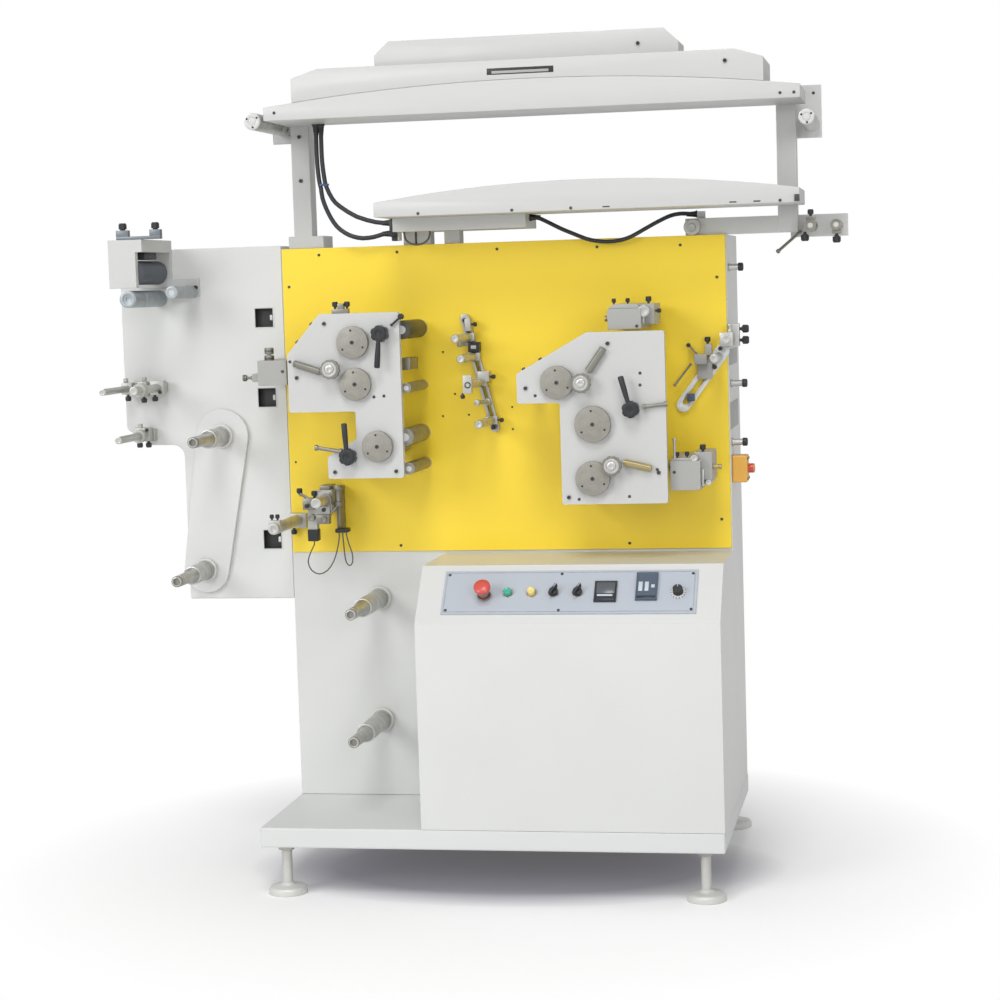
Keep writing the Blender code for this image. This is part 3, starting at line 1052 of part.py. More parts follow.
def build_cords():
    """Make the two hoses to the upper tray and the cable along the lower dryer."""
    for name, tray_leg in TRAY_LEGS.items():
        route = leg(tray_leg, TRAY_LEFT, TRAY_BOTTOM)
        route += leg(CHANNEL_LEGS[name], CHANNEL_LEFT, LOWER_DRYER_BOTTOM)
        tube(name, route, HOSE_RADIUS, BLACK_PLASTIC)
    route = leg(CABLE_CHANNEL_LEG, CHANNEL_RIGHT, LOWER_DRYER_BOTTOM)
    route += leg(CABLE_BEAM_LEG, BEAM_LEFT, HOUSING_TOP)
    tube("dryer_cable", route, CABLE_RADIUS, BLACK_PLASTIC)


def main():
    """Build the whole press."""
    build_base()
    build_housing()
    build_spindles()
    build_console()
    build_unit("left_unit_plate", LEFT_UNIT_OUTLINE, LEFT_CYLINDERS, LEFT_INK_ROLLERS, LEFT_LEVERS, LEFT_TIES,
               LEFT_IDLERS)
    build_unit("right_unit_plate", RIGHT_UNIT_OUTLINE, RIGHT_CYLINDERS, RIGHT_INK_ROLLERS, RIGHT_LEVERS,
               RIGHT_TIES)
    build_ink_units()
    build_nip_unit()
    build_wing_guides()
    build_panel_guides()
    build_switch_box()
    build_posts()
    build_dryers()
    build_cords()


main()
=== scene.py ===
"""Finish and fine detail of the narrow-web label press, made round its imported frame.

Lengths are metres. Places are the press's own: x from the middle of the front panel to the
operator's right, y from the panel's face (towards the operator is negative), z from the floor.
"""
import logging
import math
from collections.abc import Callable, Iterator, Sequence
from contextlib import contextmanager
from dataclasses import dataclass, field
from enum import Enum

import bpy
from mathutils import Euler, Matrix, Vector


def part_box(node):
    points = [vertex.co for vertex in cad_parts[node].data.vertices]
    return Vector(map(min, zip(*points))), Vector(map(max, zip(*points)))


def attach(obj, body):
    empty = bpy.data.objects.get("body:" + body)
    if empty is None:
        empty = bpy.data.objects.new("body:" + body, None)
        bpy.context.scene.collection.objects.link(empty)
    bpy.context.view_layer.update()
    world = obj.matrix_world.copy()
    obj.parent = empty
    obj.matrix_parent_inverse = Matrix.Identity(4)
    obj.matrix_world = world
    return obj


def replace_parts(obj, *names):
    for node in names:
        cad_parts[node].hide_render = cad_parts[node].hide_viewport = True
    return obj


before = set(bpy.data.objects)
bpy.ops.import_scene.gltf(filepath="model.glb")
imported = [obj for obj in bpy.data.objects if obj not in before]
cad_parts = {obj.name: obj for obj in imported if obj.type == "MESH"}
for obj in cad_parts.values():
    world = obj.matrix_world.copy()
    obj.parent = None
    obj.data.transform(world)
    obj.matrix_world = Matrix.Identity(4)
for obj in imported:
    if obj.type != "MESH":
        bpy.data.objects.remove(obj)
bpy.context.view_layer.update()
LOG = logging.getLogger("label_press")
HOUSING_LOW, HOUSING_HIGH = (Vector(corner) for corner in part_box("main_housing"))
ORIGIN = Vector(((HOUSING_LOW.x + HOUSING_HIGH.x) / 2, HOUSING_LOW.y, 0.0))
MACHINE = "machine"
TINY = 0.00001
SIT = 0.0002

Spot = tuple[float, float, float]
Flat = tuple[float, float]
Colour = tuple[float, float, float]
Piece = bpy.types.Object


def spot(x: float, y: float, z: float) -> Vector:
    """Return the world place of a point given in the press's own coordinates."""
    return ORIGIN + Vector((x, y, z))


def own_box(node: str) -> tuple[Vector, Vector]:
    """Return a CAD node's lowest and highest corner in the press's own coordinates."""
    low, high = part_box(node)
    return Vector(low) - ORIGIN, Vector(high) - ORIGIN


def along(line: Vector) -> Matrix:
    """Return the turn that brings +Z along a line."""
    return line.to_track_quat("Z", "Y").to_matrix().to_4x4()


class Facing(Enum):
    """The way in which a piece's own +Z is turned."""

    OPERATOR = (math.pi / 2, 0.0, 0.0)
    REAR = (-math.pi / 2, 0.0, 0.0)
    UP = (0.0, 0.0, 0.0)
    DOWN = (math.pi, 0.0, 0.0)
    RIGHT = (0.0, math.pi / 2, 0.0)
    LEFT = (0.0, -math.pi / 2, 0.0)

    def matrix(self) -> Matrix:
        """Return the turn as a matrix."""
        return Euler(self.value).to_matrix().to_4x4()


# Finishes
Socket = bpy.types.NodeSocket


class Graph:
    """A node tree and the calls that lay nodes in it."""

    def __init__(self, tree: bpy.types.NodeTree) -> None:
        """Keep the tree that the nodes go into."""
        self.tree = tree

    def feed(self, socket: Socket, value: object) -> None:
        """Join an output to an input, or set the input to a plain value."""
        if isinstance(value, Socket):
            self.tree.links.new(value, socket)
        elif socket.type == "RGBA":
            socket.default_value = (*value, 1.0)
        else:
            socket.default_value = value

    def node(self, kind: str, inputs: dict | None = None, **settings: object) -> bpy.types.Node:
        """Add one node.

        Args:
            kind: Blender's name for the node, without its first part.
            inputs: What each input gets: another node's output or a plain value.
            settings: Properties of the node by name.

        Returns:
            The new node.
        """
        new = self.tree.nodes.new("ShaderNode" + kind)
        for key, value in settings.items():
            setattr(new, key, value)
        for key, value in (inputs or {}).items():
            self.feed(new.inputs[key], value)
        return new

    def noise(self, vector: object, scale: object, detail: float = 2.0, roughness: float = 0.5) -> Socket:
        """Return the value of a noise over a vector."""
        given = {"Vector": vector, "Scale": scale, "Detail": detail, "Roughness": roughness}
        return self.node("TexNoise", given).outputs["Fac"]

    def maths(self, operation: str, *given: object) -> Socket:
        """Return the result of a sum on plain values, held between nought and one where it adds."""
        clamped = operation == "MULTIPLY_ADD"
        return self.node("Math", dict(enumerate(given)), operation=operation, use_clamp=clamped).outputs["Value"]

    def length(self, vector: object) -> Socket:
        """Return a vector's length."""
        return self.node("VectorMath", {0: vector}, operation="LENGTH").outputs["Value"]

    def ranged(self, value: object, low: float, high: float, out_low: float = 0.0,
            out_high: float = 1.0) -> Socket:
        """Return a value mapped from one range to another."""
        given = {"Value": value, "From Min": low, "From Max": high, "To Min": out_low, "To Max": out_high}
        return self.node("MapRange", given).outputs["Result"]

    def mixed(self, factor: object, first: object, second: object) -> Socket:
        """Return two colours mixed by a factor."""
        return self.node("Mix", {"Factor": factor, 6: first, 7: second}, data_type="RGBA").outputs[2]


class Effects:
    """The shader node groups that several finishes share."""

    GIVEN = (("Vector", "NodeSocketVector"), ("Base", "NodeSocketColor"), ("Shade", "NodeSocketColor"),
        ("Scale", "NodeSocketFloat"))
    MADE = (("Color", "NodeSocketColor"), ("Mask", "NodeSocketFloat"), ("Height", "NodeSocketFloat"))

    def __init__(self) -> None:
        """Build each group once."""
        self.mottle = self.group("uneven_surface", self.draw_mottle)
        self.brushed = self.group("drawn_marks", self.draw_brushed)
        self.rings = self.group("turning_marks", self.draw_rings)
        self.dust = self.group("settled_dust", self.draw_dust)
        self.wear = self.group("rubbed_edges", self.draw_wear)

    def group(self, name: str, draw: Callable) -> bpy.types.NodeTree:
        """Build one group, which mixes a base colour and its shade by a mask.

        Args:
            name: Name of the group.
            draw: Method that draws mask and height from the vector and the scale.

        Returns:
            The group.
        """
        tree = bpy.data.node_groups.new(name, "ShaderNodeTree")
        for in_out, sockets in (("INPUT", self.GIVEN), ("OUTPUT", self.MADE)):
            for label, kind in sockets:
                tree.interface.new_socket(label, in_out=in_out, socket_type=kind)
        graph = Graph(tree)
        given = tree.nodes.new("NodeGroupInput").outputs
        made = tree.nodes.new("NodeGroupOutput").inputs
        mask, height = draw(graph, given["Vector"], given["Scale"])
        graph.feed(made["Color"], graph.mixed(mask, given["Base"], given["Shade"]))
        graph.feed(made["Mask"], mask)
        graph.feed(made["Height"], height)
        return tree

    def draw_mottle(self, graph: Graph, vector: object, scale: object) -> tuple:
        """Draw a slightly uneven, fine-grained surface."""
        return graph.ranged(graph.noise(vector, 2.3, 4.0), 0.35, 0.7), graph.noise(vector, scale)

    def draw_brushed(self, graph: Graph, vector: object, scale: object) -> tuple:
        """Draw marks along one direction, with the vector already stretched."""
        marks = graph.noise(vector, scale, 5.0, 0.65)
        return graph.ranged(marks, 0.3, 0.72), marks

    def draw_rings(self, graph: Graph, vector: object, scale: object) -> tuple:
        """Draw turning marks round an axis along Y through the vector's origin."""
        parts = graph.node("SeparateXYZ", {"Vector": vector}).outputs
        radius = graph.length(graph.node("CombineXYZ", {"X": parts["X"], "Y": parts["Z"]}).outputs["Vector"])
        round_the_axis = graph.node("CombineXYZ", {"X": radius, "Y": parts["Y"]}).outputs["Vector"]
        marks = graph.noise(round_the_axis, scale, 4.0)
        return graph.ranged(graph.maths("ADD", marks, graph.noise(vector, 55.0, 3.0)), 0.8, 1.25), marks

    def draw_dust(self, graph: Graph, vector: object, scale: object) -> tuple:
        """Draw dust in patches where the surface faces up."""
        normal = graph.node("NewGeometry").outputs["Normal"]
        upward = graph.ranged(graph.node("SeparateXYZ", {"Vector": normal}).outputs["Z"], 0.55, 1.0, 0.0, 0.5)
        share = graph.maths("MULTIPLY", upward, graph.noise(vector, scale, 4.0))
        return share, share

    def draw_wear(self, graph: Graph, vector: object, scale: object) -> tuple:
        """Draw broken rubbed patches along the edges."""
        rounded = graph.node("Bevel", {"Radius": 0.0014}, samples=4).outputs["Normal"]
        given = {0: rounded, 1: graph.node("NewGeometry").outputs["Normal"]}
        along = graph.node("VectorMath", given, operation="DOT_PRODUCT").outputs["Value"]
        patches = graph.ranged(graph.noise(vector, scale), 0.42, 0.62, 0.0, 0.8)
        share = graph.maths("MULTIPLY", graph.ranged(along, 0.93, 0.995, 1.0, 0.0), patches)
        return share, share


EFFECTS = Effects()


class Marks(Enum):
    """What the fine structure of a finish looks like, with the stretch that draws it."""

    GRAIN = (1.0, 1.0, 1.0)
    ALONG_X = (0.03, 1.0, 1.0)
    ALONG_Y = (1.0, 0.03, 1.0)


@dataclass(frozen=True)
class Finish:
    """One finish: its colour, the share of it that its shade keeps, its gloss and fine structure."""

    name: str
    colour: Colour
    fade: float
    roughness: float
    metallic: float = 0.0
    marks: Marks = Marks.GRAIN
    scale: float = 900.0
    relief: float = 0.06
    spread: float = 0.08
    coat: float = 0.0
    dusty: float = 0.0
    worn: float = 1.3

    def tinted(self, share: float) -> Colour:
        """Return the colour at a share of its brightness."""
        return tuple(min(1.0, part * share) for part in self.colour)

    def material(self, axis: Vector | None = None) -> bpy.types.Material:
        """Return the material, made on first use.

        Args:
            axis: World point on the axis of a turned piece, where the marks go round one.

        Returns:
            The material, one for each finish and axis.
        """
        label = self.name if axis is None else "%s_%d_%d" % (self.name, round(axis.x * 1000),
            round(axis.z * 1000))
        found = bpy.data.materials.get(label)
        if found:
            return found
        made = bpy.data.materials.new(label)
        made.use_nodes = True
        graph = Graph(made.node_tree)
        place = graph.node("TexCoord").outputs["Object"]

        def effect(tree: bpy.types.NodeTree, vector: object, base: object, shade: object, scale: float) -> object:
            """Lay one shared group and return its outputs."""
            given = {"Vector": vector, "Base": base, "Shade": shade, "Scale": scale}
            group = graph.node("Group", node_tree=tree)
            for key, value in given.items():
                graph.feed(group.inputs[key], value)
            return group.outputs

        if axis is None:
            mapping = graph.node("Mapping", {"Vector": place, "Scale": self.marks.value})
            tree = EFFECTS.mottle if self.marks is Marks.GRAIN else EFFECTS.brushed
        else:
            mapping = graph.node("Mapping", {"Vector": place, "Location": -axis})
            tree = EFFECTS.rings
        drawn = effect(tree, mapping.outputs["Vector"], self.colour, self.tinted(self.fade), self.scale)
        colour = drawn["Color"]
        if self.dusty:
            dust = (self.dusty, self.dusty * 0.99, self.dusty * 0.95)
            colour = effect(EFFECTS.dust, place, colour, dust, 9.0)["Color"]
        colour = effect(EFFECTS.wear, place, colour, self.tinted(self.worn), 60.0)["Color"]
        rough = graph.ranged(drawn["Mask"], 0.0, 1.0, self.roughness - self.spread / 2,
            self.roughness + self.spread / 2)
        bump = graph.node("Bump", {"Strength": self.relief, "Distance": 0.0006, "Height": drawn["Height"]})
        for label, value in (("Base Color", colour), ("Metallic", self.metallic), ("Roughness", rough),
                ("Coat Weight", self.coat), ("Coat Roughness", 0.12), ("Normal", bump.outputs["Normal"])):
            graph.feed(made.node_tree.nodes["Principled BSDF"].inputs[label], value)
        return made


WHITE = Finish("white_coat", (0.7, 0.708, 0.692), 0.954, 0.42, scale=650.0, relief=0.05, coat=0.1, dusty=0.6,
    worn=0.78)
PALE = Finish("pale_coat", (0.76, 0.785, 0.79), 0.968, 0.4, scale=650.0, relief=0.05, coat=0.1, worn=0.8)
# Painted shade: the white paint made darker for the decks, unit plates and nip bracket, which the lamps light
# more than the housing.
SHADED_WHITE = Finish("shell_coat", (0.59, 0.596, 0.584), 0.953, 0.42, scale=650.0, relief=0.05, coat=0.1, dusty=0.5,
    worn=0.78)
DECK = Finish("deck_coat", (0.7, 0.712, 0.705), 0.96, 0.42, scale=650.0, relief=0.05, worn=0.8)
# Painted shade: the posts' white paint made grey for their shaded fronts.
SHADED_POST = Finish("post_coat", (0.55, 0.555, 0.54), 0.945, 0.44, scale=650.0, relief=0.05, worn=0.8)
YELLOW = Finish("yellow_coat", (0.99, 0.725, 0.042), 0.957, 0.4, scale=650.0, relief=0.05, coat=0.12, worn=0.72)
CONTROL = Finish("control_foil", (0.475, 0.512, 0.57), 0.961, 0.46, scale=1400.0, relief=0.03, worn=0.72)
DISC = Finish("ground_disc", (0.35, 0.335, 0.298), 0.836, 0.48, metallic=0.6, scale=420.0, relief=0.1, spread=0.1)
STEEL = Finish("turned_steel", (0.58, 0.58, 0.56), 0.776, 0.42, metallic=0.85, scale=500.0, relief=0.08,
    spread=0.16)
BARE = Finish("machined_steel", (0.545, 0.545, 0.52), 0.826, 0.38, metallic=0.75, marks=Marks.ALONG_Y,
    scale=180.0, relief=0.08, spread=0.14)
PLATED = Finish("plated_block", (0.5, 0.5, 0.47), 0.898, 0.46, metallic=0.45, marks=Marks.ALONG_X, scale=160.0,
    relief=0.05)
SCREW = Finish("dark_screw", (0.06, 0.06, 0.058), 1.79, 0.38, metallic=0.6, scale=1200.0)
ZINC = Finish("zinc_screw", (0.5, 0.49, 0.46), 0.755, 0.34, metallic=0.85, scale=900.0)
BLACK = Finish("moulded_black", (0.017, 0.018, 0.02), 1.51, 0.44, scale=1500.0, relief=0.1, worn=3.0)
GRIP = Finish("grip_plastic", (0.022, 0.023, 0.024), 1.36, 0.55, scale=1100.0, relief=0.14)
NAVY = Finish("navy_band", (0.02, 0.026, 0.045), 1.21, 0.4, scale=900.0, worn=2.0)
DARK = Finish("darkened_roller", (0.075, 0.072, 0.058), 0.727, 0.46, metallic=0.4, scale=500.0)
RUBBER = Finish("roller_rubber", (0.105, 0.12, 0.14), 0.816, 0.52, scale=700.0, relief=0.06)
HOSE = Finish("hose_sheath", (0.02, 0.023, 0.028), 1.55, 0.42, scale=900.0, relief=0.1)
RED = Finish("moulded_red", (0.66, 0.085, 0.065), 0.883, 0.36, scale=1200.0, coat=0.3)
GREEN = Finish("moulded_green", (0.06, 0.44, 0.3), 0.9, 0.3, scale=1200.0, coat=0.3)
AMBER = Finish("moulded_amber", (0.86, 0.68, 0.23), 0.932, 0.3, scale=1200.0, coat=0.3)
ORANGE = Finish("moulded_orange", (0.83, 0.45, 0.08), 0.926, 0.4, scale=1200.0, relief=0.1)
SLATE = Finish("slate_plastic", (0.075, 0.105, 0.15), 0.885, 0.38, scale=1200.0)
SCREEN = Finish("screen_window", (0.095, 0.105, 0.12), 0.859, 0.3, scale=40.0, relief=0.0, coat=0.3)
INDICATOR = Finish("white_indicator", (0.56, 0.62, 0.68), 0.935, 0.4, scale=400.0, relief=0.0)
BLUE = Finish("blue_tie", (0.06, 0.11, 0.3), 0.862, 0.4, scale=900.0)
ROLLER = Finish("anodised_roller", (0.4, 0.44, 0.465), 0.835, 0.46, metallic=0.55, scale=420.0, relief=0.08,
    spread=0.1)
DULL = Finish("dulled_steel", (0.32, 0.31, 0.272), 0.714, 0.42, metallic=0.7, scale=700.0, relief=0.1)
LEAD = Finish("lead_sheath", (0.105, 0.105, 0.09), 0.717, 0.5, scale=900.0, relief=0.1)
PAD = Finish("cast_pad", (0.72, 0.715, 0.69), 0.91, 0.48, metallic=0.2, scale=800.0, relief=0.1, worn=0.8)
GREY = Finish("grey_coat", (0.405, 0.405, 0.388), 0.918, 0.46, scale=700.0, relief=0.06)
BLUED = Finish("blued_block", (0.23, 0.255, 0.28), 0.791, 0.42, metallic=0.5, scale=500.0)
TRIM = Finish("pale_trim", (0.64, 0.645, 0.63), 0.937, 0.45, scale=800.0)
BRASS = Finish("brass_plate", (0.48, 0.39, 0.2), 0.818, 0.38, metallic=0.7, scale=500.0)


Look = Finish | bpy.types.Material


# Modelling
def deselect_all() -> None:
    """Leave nothing selected, in object mode."""
    if bpy.context.mode != "OBJECT":
        bpy.ops.object.mode_set(mode="OBJECT")
    bpy.ops.object.select_all(action="DESELECT")


def activate(piece: Piece) -> None:
    """Make a piece the only selected one and the active one."""
    deselect_all()
    piece.select_set(True)
    bpy.context.view_layer.objects.active = piece


def shown(name: str, data: bpy.types.ID) -> Piece:
    """Add an object with some data to the scene."""
    new = bpy.data.objects.new(name, data)
    bpy.context.scene.collection.objects.link(new)
    return new


def settle(piece: Piece, name: str, finish: Look) -> Piece:
    """Name a new piece, put its place into its mesh, give it its finish and return it."""
    activate(piece)
    bpy.ops.object.transform_apply(location=True, rotation=True, scale=True)
    piece.name = name
    piece.data.name = name
    piece.data.materials.clear()
    piece.data.materials.append(finish.material() if isinstance(finish, Finish) else finish)
    return piece


@contextmanager
def shaping(piece: Piece, chosen: Callable[[bpy.types.MeshPolygon], bool]) -> Iterator[None]:
    """Work in edit mode on the faces of a piece that a test picks.

    Args:
        piece: The piece to shape.
        chosen: Test that says which faces are selected.

    Yields:
        Nothing; the operators inside act on the selected faces.
    """
    activate(piece)
    for part in (piece.data.vertices, piece.data.edges):
        for item in part:
            item.select = False
    for face in piece.data.polygons:
        face.select = chosen(face)
    bpy.context.tool_settings.mesh_select_mode = (False, False, True)
    bpy.ops.object.mode_set(mode="EDIT")
    yield
    bpy.ops.object.mode_set(mode="OBJECT")


def apply_modifier(piece: Piece, kind: str, **settings: object) -> None:
    """Add one modifier, set it and apply it."""
    activate(piece)
    modifier = piece.modifiers.new(kind.lower(), kind)
    for key, value in settings.items():
        setattr(modifier, key, value)
    bpy.ops.object.modifier_apply(modifier=modifier.name)


def ease_edges(piece: Piece, width: float, segments: int = 2) -> Piece:
    """Round a piece's sharp edges and shade it smooth between them."""
    if width:
        apply_modifier(piece, "BEVEL", width=width, segments=segments, limit_method="ANGLE",
            angle_limit=math.radians(32))
    activate(piece)
    bpy.ops.object.shade_smooth_by_angle(angle=math.radians(32))
    return piece


@dataclass(frozen=True)
class Step:
    """One stretch of a turned piece: its radius, its rise, and its end radius where it tapers."""

    radius: float
    rise: float
    end: float = 0.0


def turned(name: str, finish: Look, steps: Sequence[Step], sides: int = 40, edge: float = 0.0006,
        foot: float = 0.0) -> Piece:
    """Model a turned piece that rises along +Z from a foot on the origin's axis.

    Args:
        name: Name of the piece.
        finish: Its finish.
        steps: Its stretches from the foot up; a negative rise sinks a recess.
        sides: How many sides it has round the axis.
        edge: Width of its eased edges.
        foot: Height of its foot.

    Returns:
        The piece.
    """
    first = steps[0]
    deselect_all()
    bpy.ops.mesh.primitive_cylinder_add(vertices=sides, radius=first.radius, depth=first.rise,
        location=(0.0, 0.0, foot + first.rise / 2))
    piece = settle(bpy.context.object, name, finish)
    height = foot + first.rise
    radius = first.radius
    with shaping(piece, lambda face: face.center.z > foot + first.rise / 2 and face.normal.z > 0.9):
        if first.end:
            grow = first.end / radius
            bpy.ops.transform.resize(value=(grow, grow, 1.0), center_override=(0.0, 0.0, height))
            radius = first.end
        for step in steps[1:]:
            if abs(step.radius - radius) > TINY:
                grow = step.radius / radius
                bpy.ops.mesh.extrude_region_move()
                bpy.ops.transform.resize(value=(grow, grow, 1.0), center_override=(0.0, 0.0, height))
                radius = step.radius
            bpy.ops.mesh.extrude_region_move(TRANSFORM_OT_translate={"value": (0.0, 0.0, step.rise)})
            height += step.rise
            if step.end:
                grow = step.end / radius
                bpy.ops.transform.resize(value=(grow, grow, 1.0), center_override=(0.0, 0.0, height))
                radius = step.end
    return ease_edges(piece, edge)


def local_block(name: str, finish: Look, low: Spot, high: Spot, edge: float = 0.001, segments: int = 2) -> Piece:
    """Model a block with eased edges between two corners, to be put in its place later.

    Args:
        name: Name of the piece.
        finish: Its finish.
        low: Its lowest corner.
        high: Its highest corner.
        edge: Width of its eased edges.
        segments: Steps in each eased edge.

    Returns:
        The piece.
    """
    deselect_all()
    bpy.ops.mesh.primitive_cube_add(size=1.0, location=(Vector(low) + Vector(high)) / 2)
    bpy.context.object.scale = Vector(high) - Vector(low)
    return ease_edges(settle(bpy.context.object, name, finish), edge, segments)


def block(name: str, finish: Look, low: Spot, high: Spot, edge: float = 0.001, segments: int = 2) -> Piece:
    """Model a block between two corners given in the press's coordinates, with eased edges."""
    return put(local_block(name, finish, low, high, edge, segments), ORIGIN, Matrix())


def put(piece: Piece, place: Vector, turn: Matrix) -> Piece:
    """Turn a piece that was modelled on the origin and put it at its place, all in its mesh."""
    piece.data.transform(Matrix.Translation(place) @ turn)
    return piece


def round_piece(name: str, finish: Look, steps: Sequence[Step], place: Spot, facing: Facing, sides: int = 40,
        edge: float = 0.0006, foot: float = 0.0) -> Piece:
    """Model a turned piece and put it at a place in the press's coordinates, facing one way."""
    return put(turned(name, finish, steps, sides, edge, foot), spot(*place), facing.matrix())


def standing(name: str, finish: Look, steps: Sequence[Step], place: Flat, sides: int = 40, edge: float = 0.0006,
        foot: float = 0.0) -> Piece:
    """Model a turned piece that stands out from the panel's plane towards the operator."""
    return round_piece(name, finish, steps, (place[0], 0.0, place[1]), Facing.OPERATOR, sides, edge, foot)


def axled(name: str, finish: Finish, steps: Sequence[Step], place: Flat, sides: int = 40, edge: float = 0.0006,
        foot: float = 0.0) -> Piece:
    """Model such a piece with turning marks round its own axis."""
    return standing(name, finish.material(spot(place[0], 0.0, place[1])), steps, place, sides, edge, foot)


def rod_between(name: str, finish: Look, start: Spot, end: Spot, radius: float) -> Piece:
    """Model a thin rod with a small head at each end between two places.

    Args:
        name: Name of the rod.
        finish: Its finish.
        start: One end.
        end: The other end.
        radius: Its radius.

    Returns:
        The rod.
    """
    line = Vector(end) - Vector(start)
    head = radius * 1.5
    rod = turned(name, finish, (Step(head, head), Step(radius, line.length - 2 * head), Step(head, head)), 16,
        radius * 0.2)
    return put(rod, spot(*start), along(line))


def outlined(name: str, finish: Look, points: Sequence[Flat], front: float, back: float,
        edge: float = 0.0008) -> Piece:
    """Model an upright plate whose outline is given in x and z, between two depths.

    Args:
        name: Name of the piece.
        finish: Its finish.
        points: Corners of the outline.
        front: Depth of the face towards the operator.
        back: Depth of the other face.
        edge: Width of its eased edges.

    Returns:
        The piece.
    """
    curve = bpy.data.curves.new(name, "CURVE")
    curve.dimensions = "2D"
    curve.fill_mode = "BOTH"
    curve.extrude = (back - front) / 2
    spline = curve.splines.new("POLY")
    spline.points.add(len(points) - 1)
    for point, (across, up) in zip(spline.points, points):
        point.co = (across, up, 0.0, 1.0)
    spline.use_cyclic_u = True
    piece = shown(name, curve)
    activate(piece)
    bpy.ops.object.convert(target="MESH")
    piece = settle(bpy.context.object, name, finish)
    with shaping(piece, lambda face: True):
        bpy.ops.mesh.select_all(action="SELECT")
        bpy.ops.mesh.remove_doubles(threshold=TINY)
        bpy.ops.mesh.dissolve_limited(angle_limit=math.radians(0.3))
        bpy.ops.mesh.normals_make_consistent(inside=False)
    put(piece, ORIGIN + Vector((0.0, (front + back) / 2, 0.0)), Facing.OPERATOR.matrix())
    return ease_edges(piece, edge)


def capsule(start: Flat, end: Flat, width: float, steps: int = 8) -> list[Flat]:
    """Return the outline of a bar with round ends between two points."""
    lean = math.atan2(end[1] - start[1], end[0] - start[0])
    outline = []
    for (x, z), turn in ((end, -math.pi / 2), (start, math.pi / 2)):
        for k in range(steps + 1):
            angle = lean + turn + math.pi * k / steps
            outline.append((x + width / 2 * math.cos(angle), z + width / 2 * math.sin(angle)))
    return outline


def joined(name: str, pieces: Sequence[Piece]) -> Piece:
    """Make one piece of several, under a new name."""
    deselect_all()
    for piece in pieces:
        piece.select_set(True)
    bpy.context.view_layer.objects.active = pieces[0]
    if len(pieces) > 1:
        bpy.ops.object.join()
    pieces[0].name = name
    pieces[0].data.name = name
    return pieces[0]


def stamped(name: str, template: Piece, places: Sequence[Vector], turn: Matrix) -> Piece:
    """Copy a template to several places, each copy with its own mesh, and join them.

    Args:
        name: Name of the joined piece.
        template: A piece modelled on the origin along +Z.
        places: World place of each copy.
        turn: Turn of every copy.

    Returns:
        The joined piece; the template stays for further use.
    """
    return joined(name, [put(shown(name, template.data.copy()), place, turn) for place in places])


def carve(piece: Piece, tool: Piece, operation: str = "DIFFERENCE") -> Piece:
    """Cut a tool out of a piece, or join it on, and remove the tool."""
    apply_modifier(piece, "BOOLEAN", object=tool, operation=operation, solver="EXACT")
    bpy.data.objects.remove(tool, do_unlink=True)
    return piece


def drill(piece: Piece, radius: float, place: Spot, sides: int, depth: float) -> Piece:
    """Cut a bore along Z, through its middle's place, out of a piece."""
    deselect_all()
    bpy.ops.mesh.primitive_cylinder_add(vertices=sides, radius=radius, depth=depth, location=place)
    return carve(piece, bpy.context.object)


def soften(node: str, width: float, limit: float = 50.0) -> None:
    """Ease a CAD node's sharp edges with modifiers that stay on it."""
    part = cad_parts[node]
    weld = part.modifiers.new("weld", "WELD")
    weld.merge_threshold = 0.00005
    flat = part.modifiers.new("flat_faces", "DECIMATE")
    flat.decimate_type = "DISSOLVE"
    flat.angle_limit = math.radians(1.0)
    bevel = part.modifiers.new("eased_edges", "BEVEL")
    bevel.width = width
    bevel.segments = 3
    bevel.limit_method = "ANGLE"
    bevel.angle_limit = math.radians(limit)


def dress(node: str, finish: Finish) -> None:
    """Give a CAD node its finish in each of its material slots."""
    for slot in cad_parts[node].material_slots:
        slot.material = finish.material()


def report(piece: Piece, body: str = MACHINE) -> Piece:
    """Hang a finished piece on its body and log it."""
    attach(piece, body)
    LOG.info("%s rides on %s", piece.name, body)
    return piece


# Small hardware
class Fitting(Enum):
    """Small parts that repeat: how each is modelled, its sizes and its slot in the record."""

    CAP_SCREW = ("cap_screw", 0.0045, 0.0045, "steel")
    PAN_SCREW = ("pan_screw", 0.0036, 0.002, "steel")
    HEX_BOLT = ("hex_bolt", 0.006, 0.0045, "steel")
    KNOB = ("thumb_knob", 0.0075, 0.013, "black_plastic")
    SMALL_KNOB = ("thumb_knob", 0.0055, 0.0105, "black_plastic")
    WIDE_KNOB = ("thumb_knob", 0.01, 0.017, "black_plastic")
    HOLE_SHADE = ("painted_hole_shade", 0.0026, 0.0005, "black_plastic")

    @property
    def slot(self) -> str:
        """The slot in the record."""
        return self.value[3]


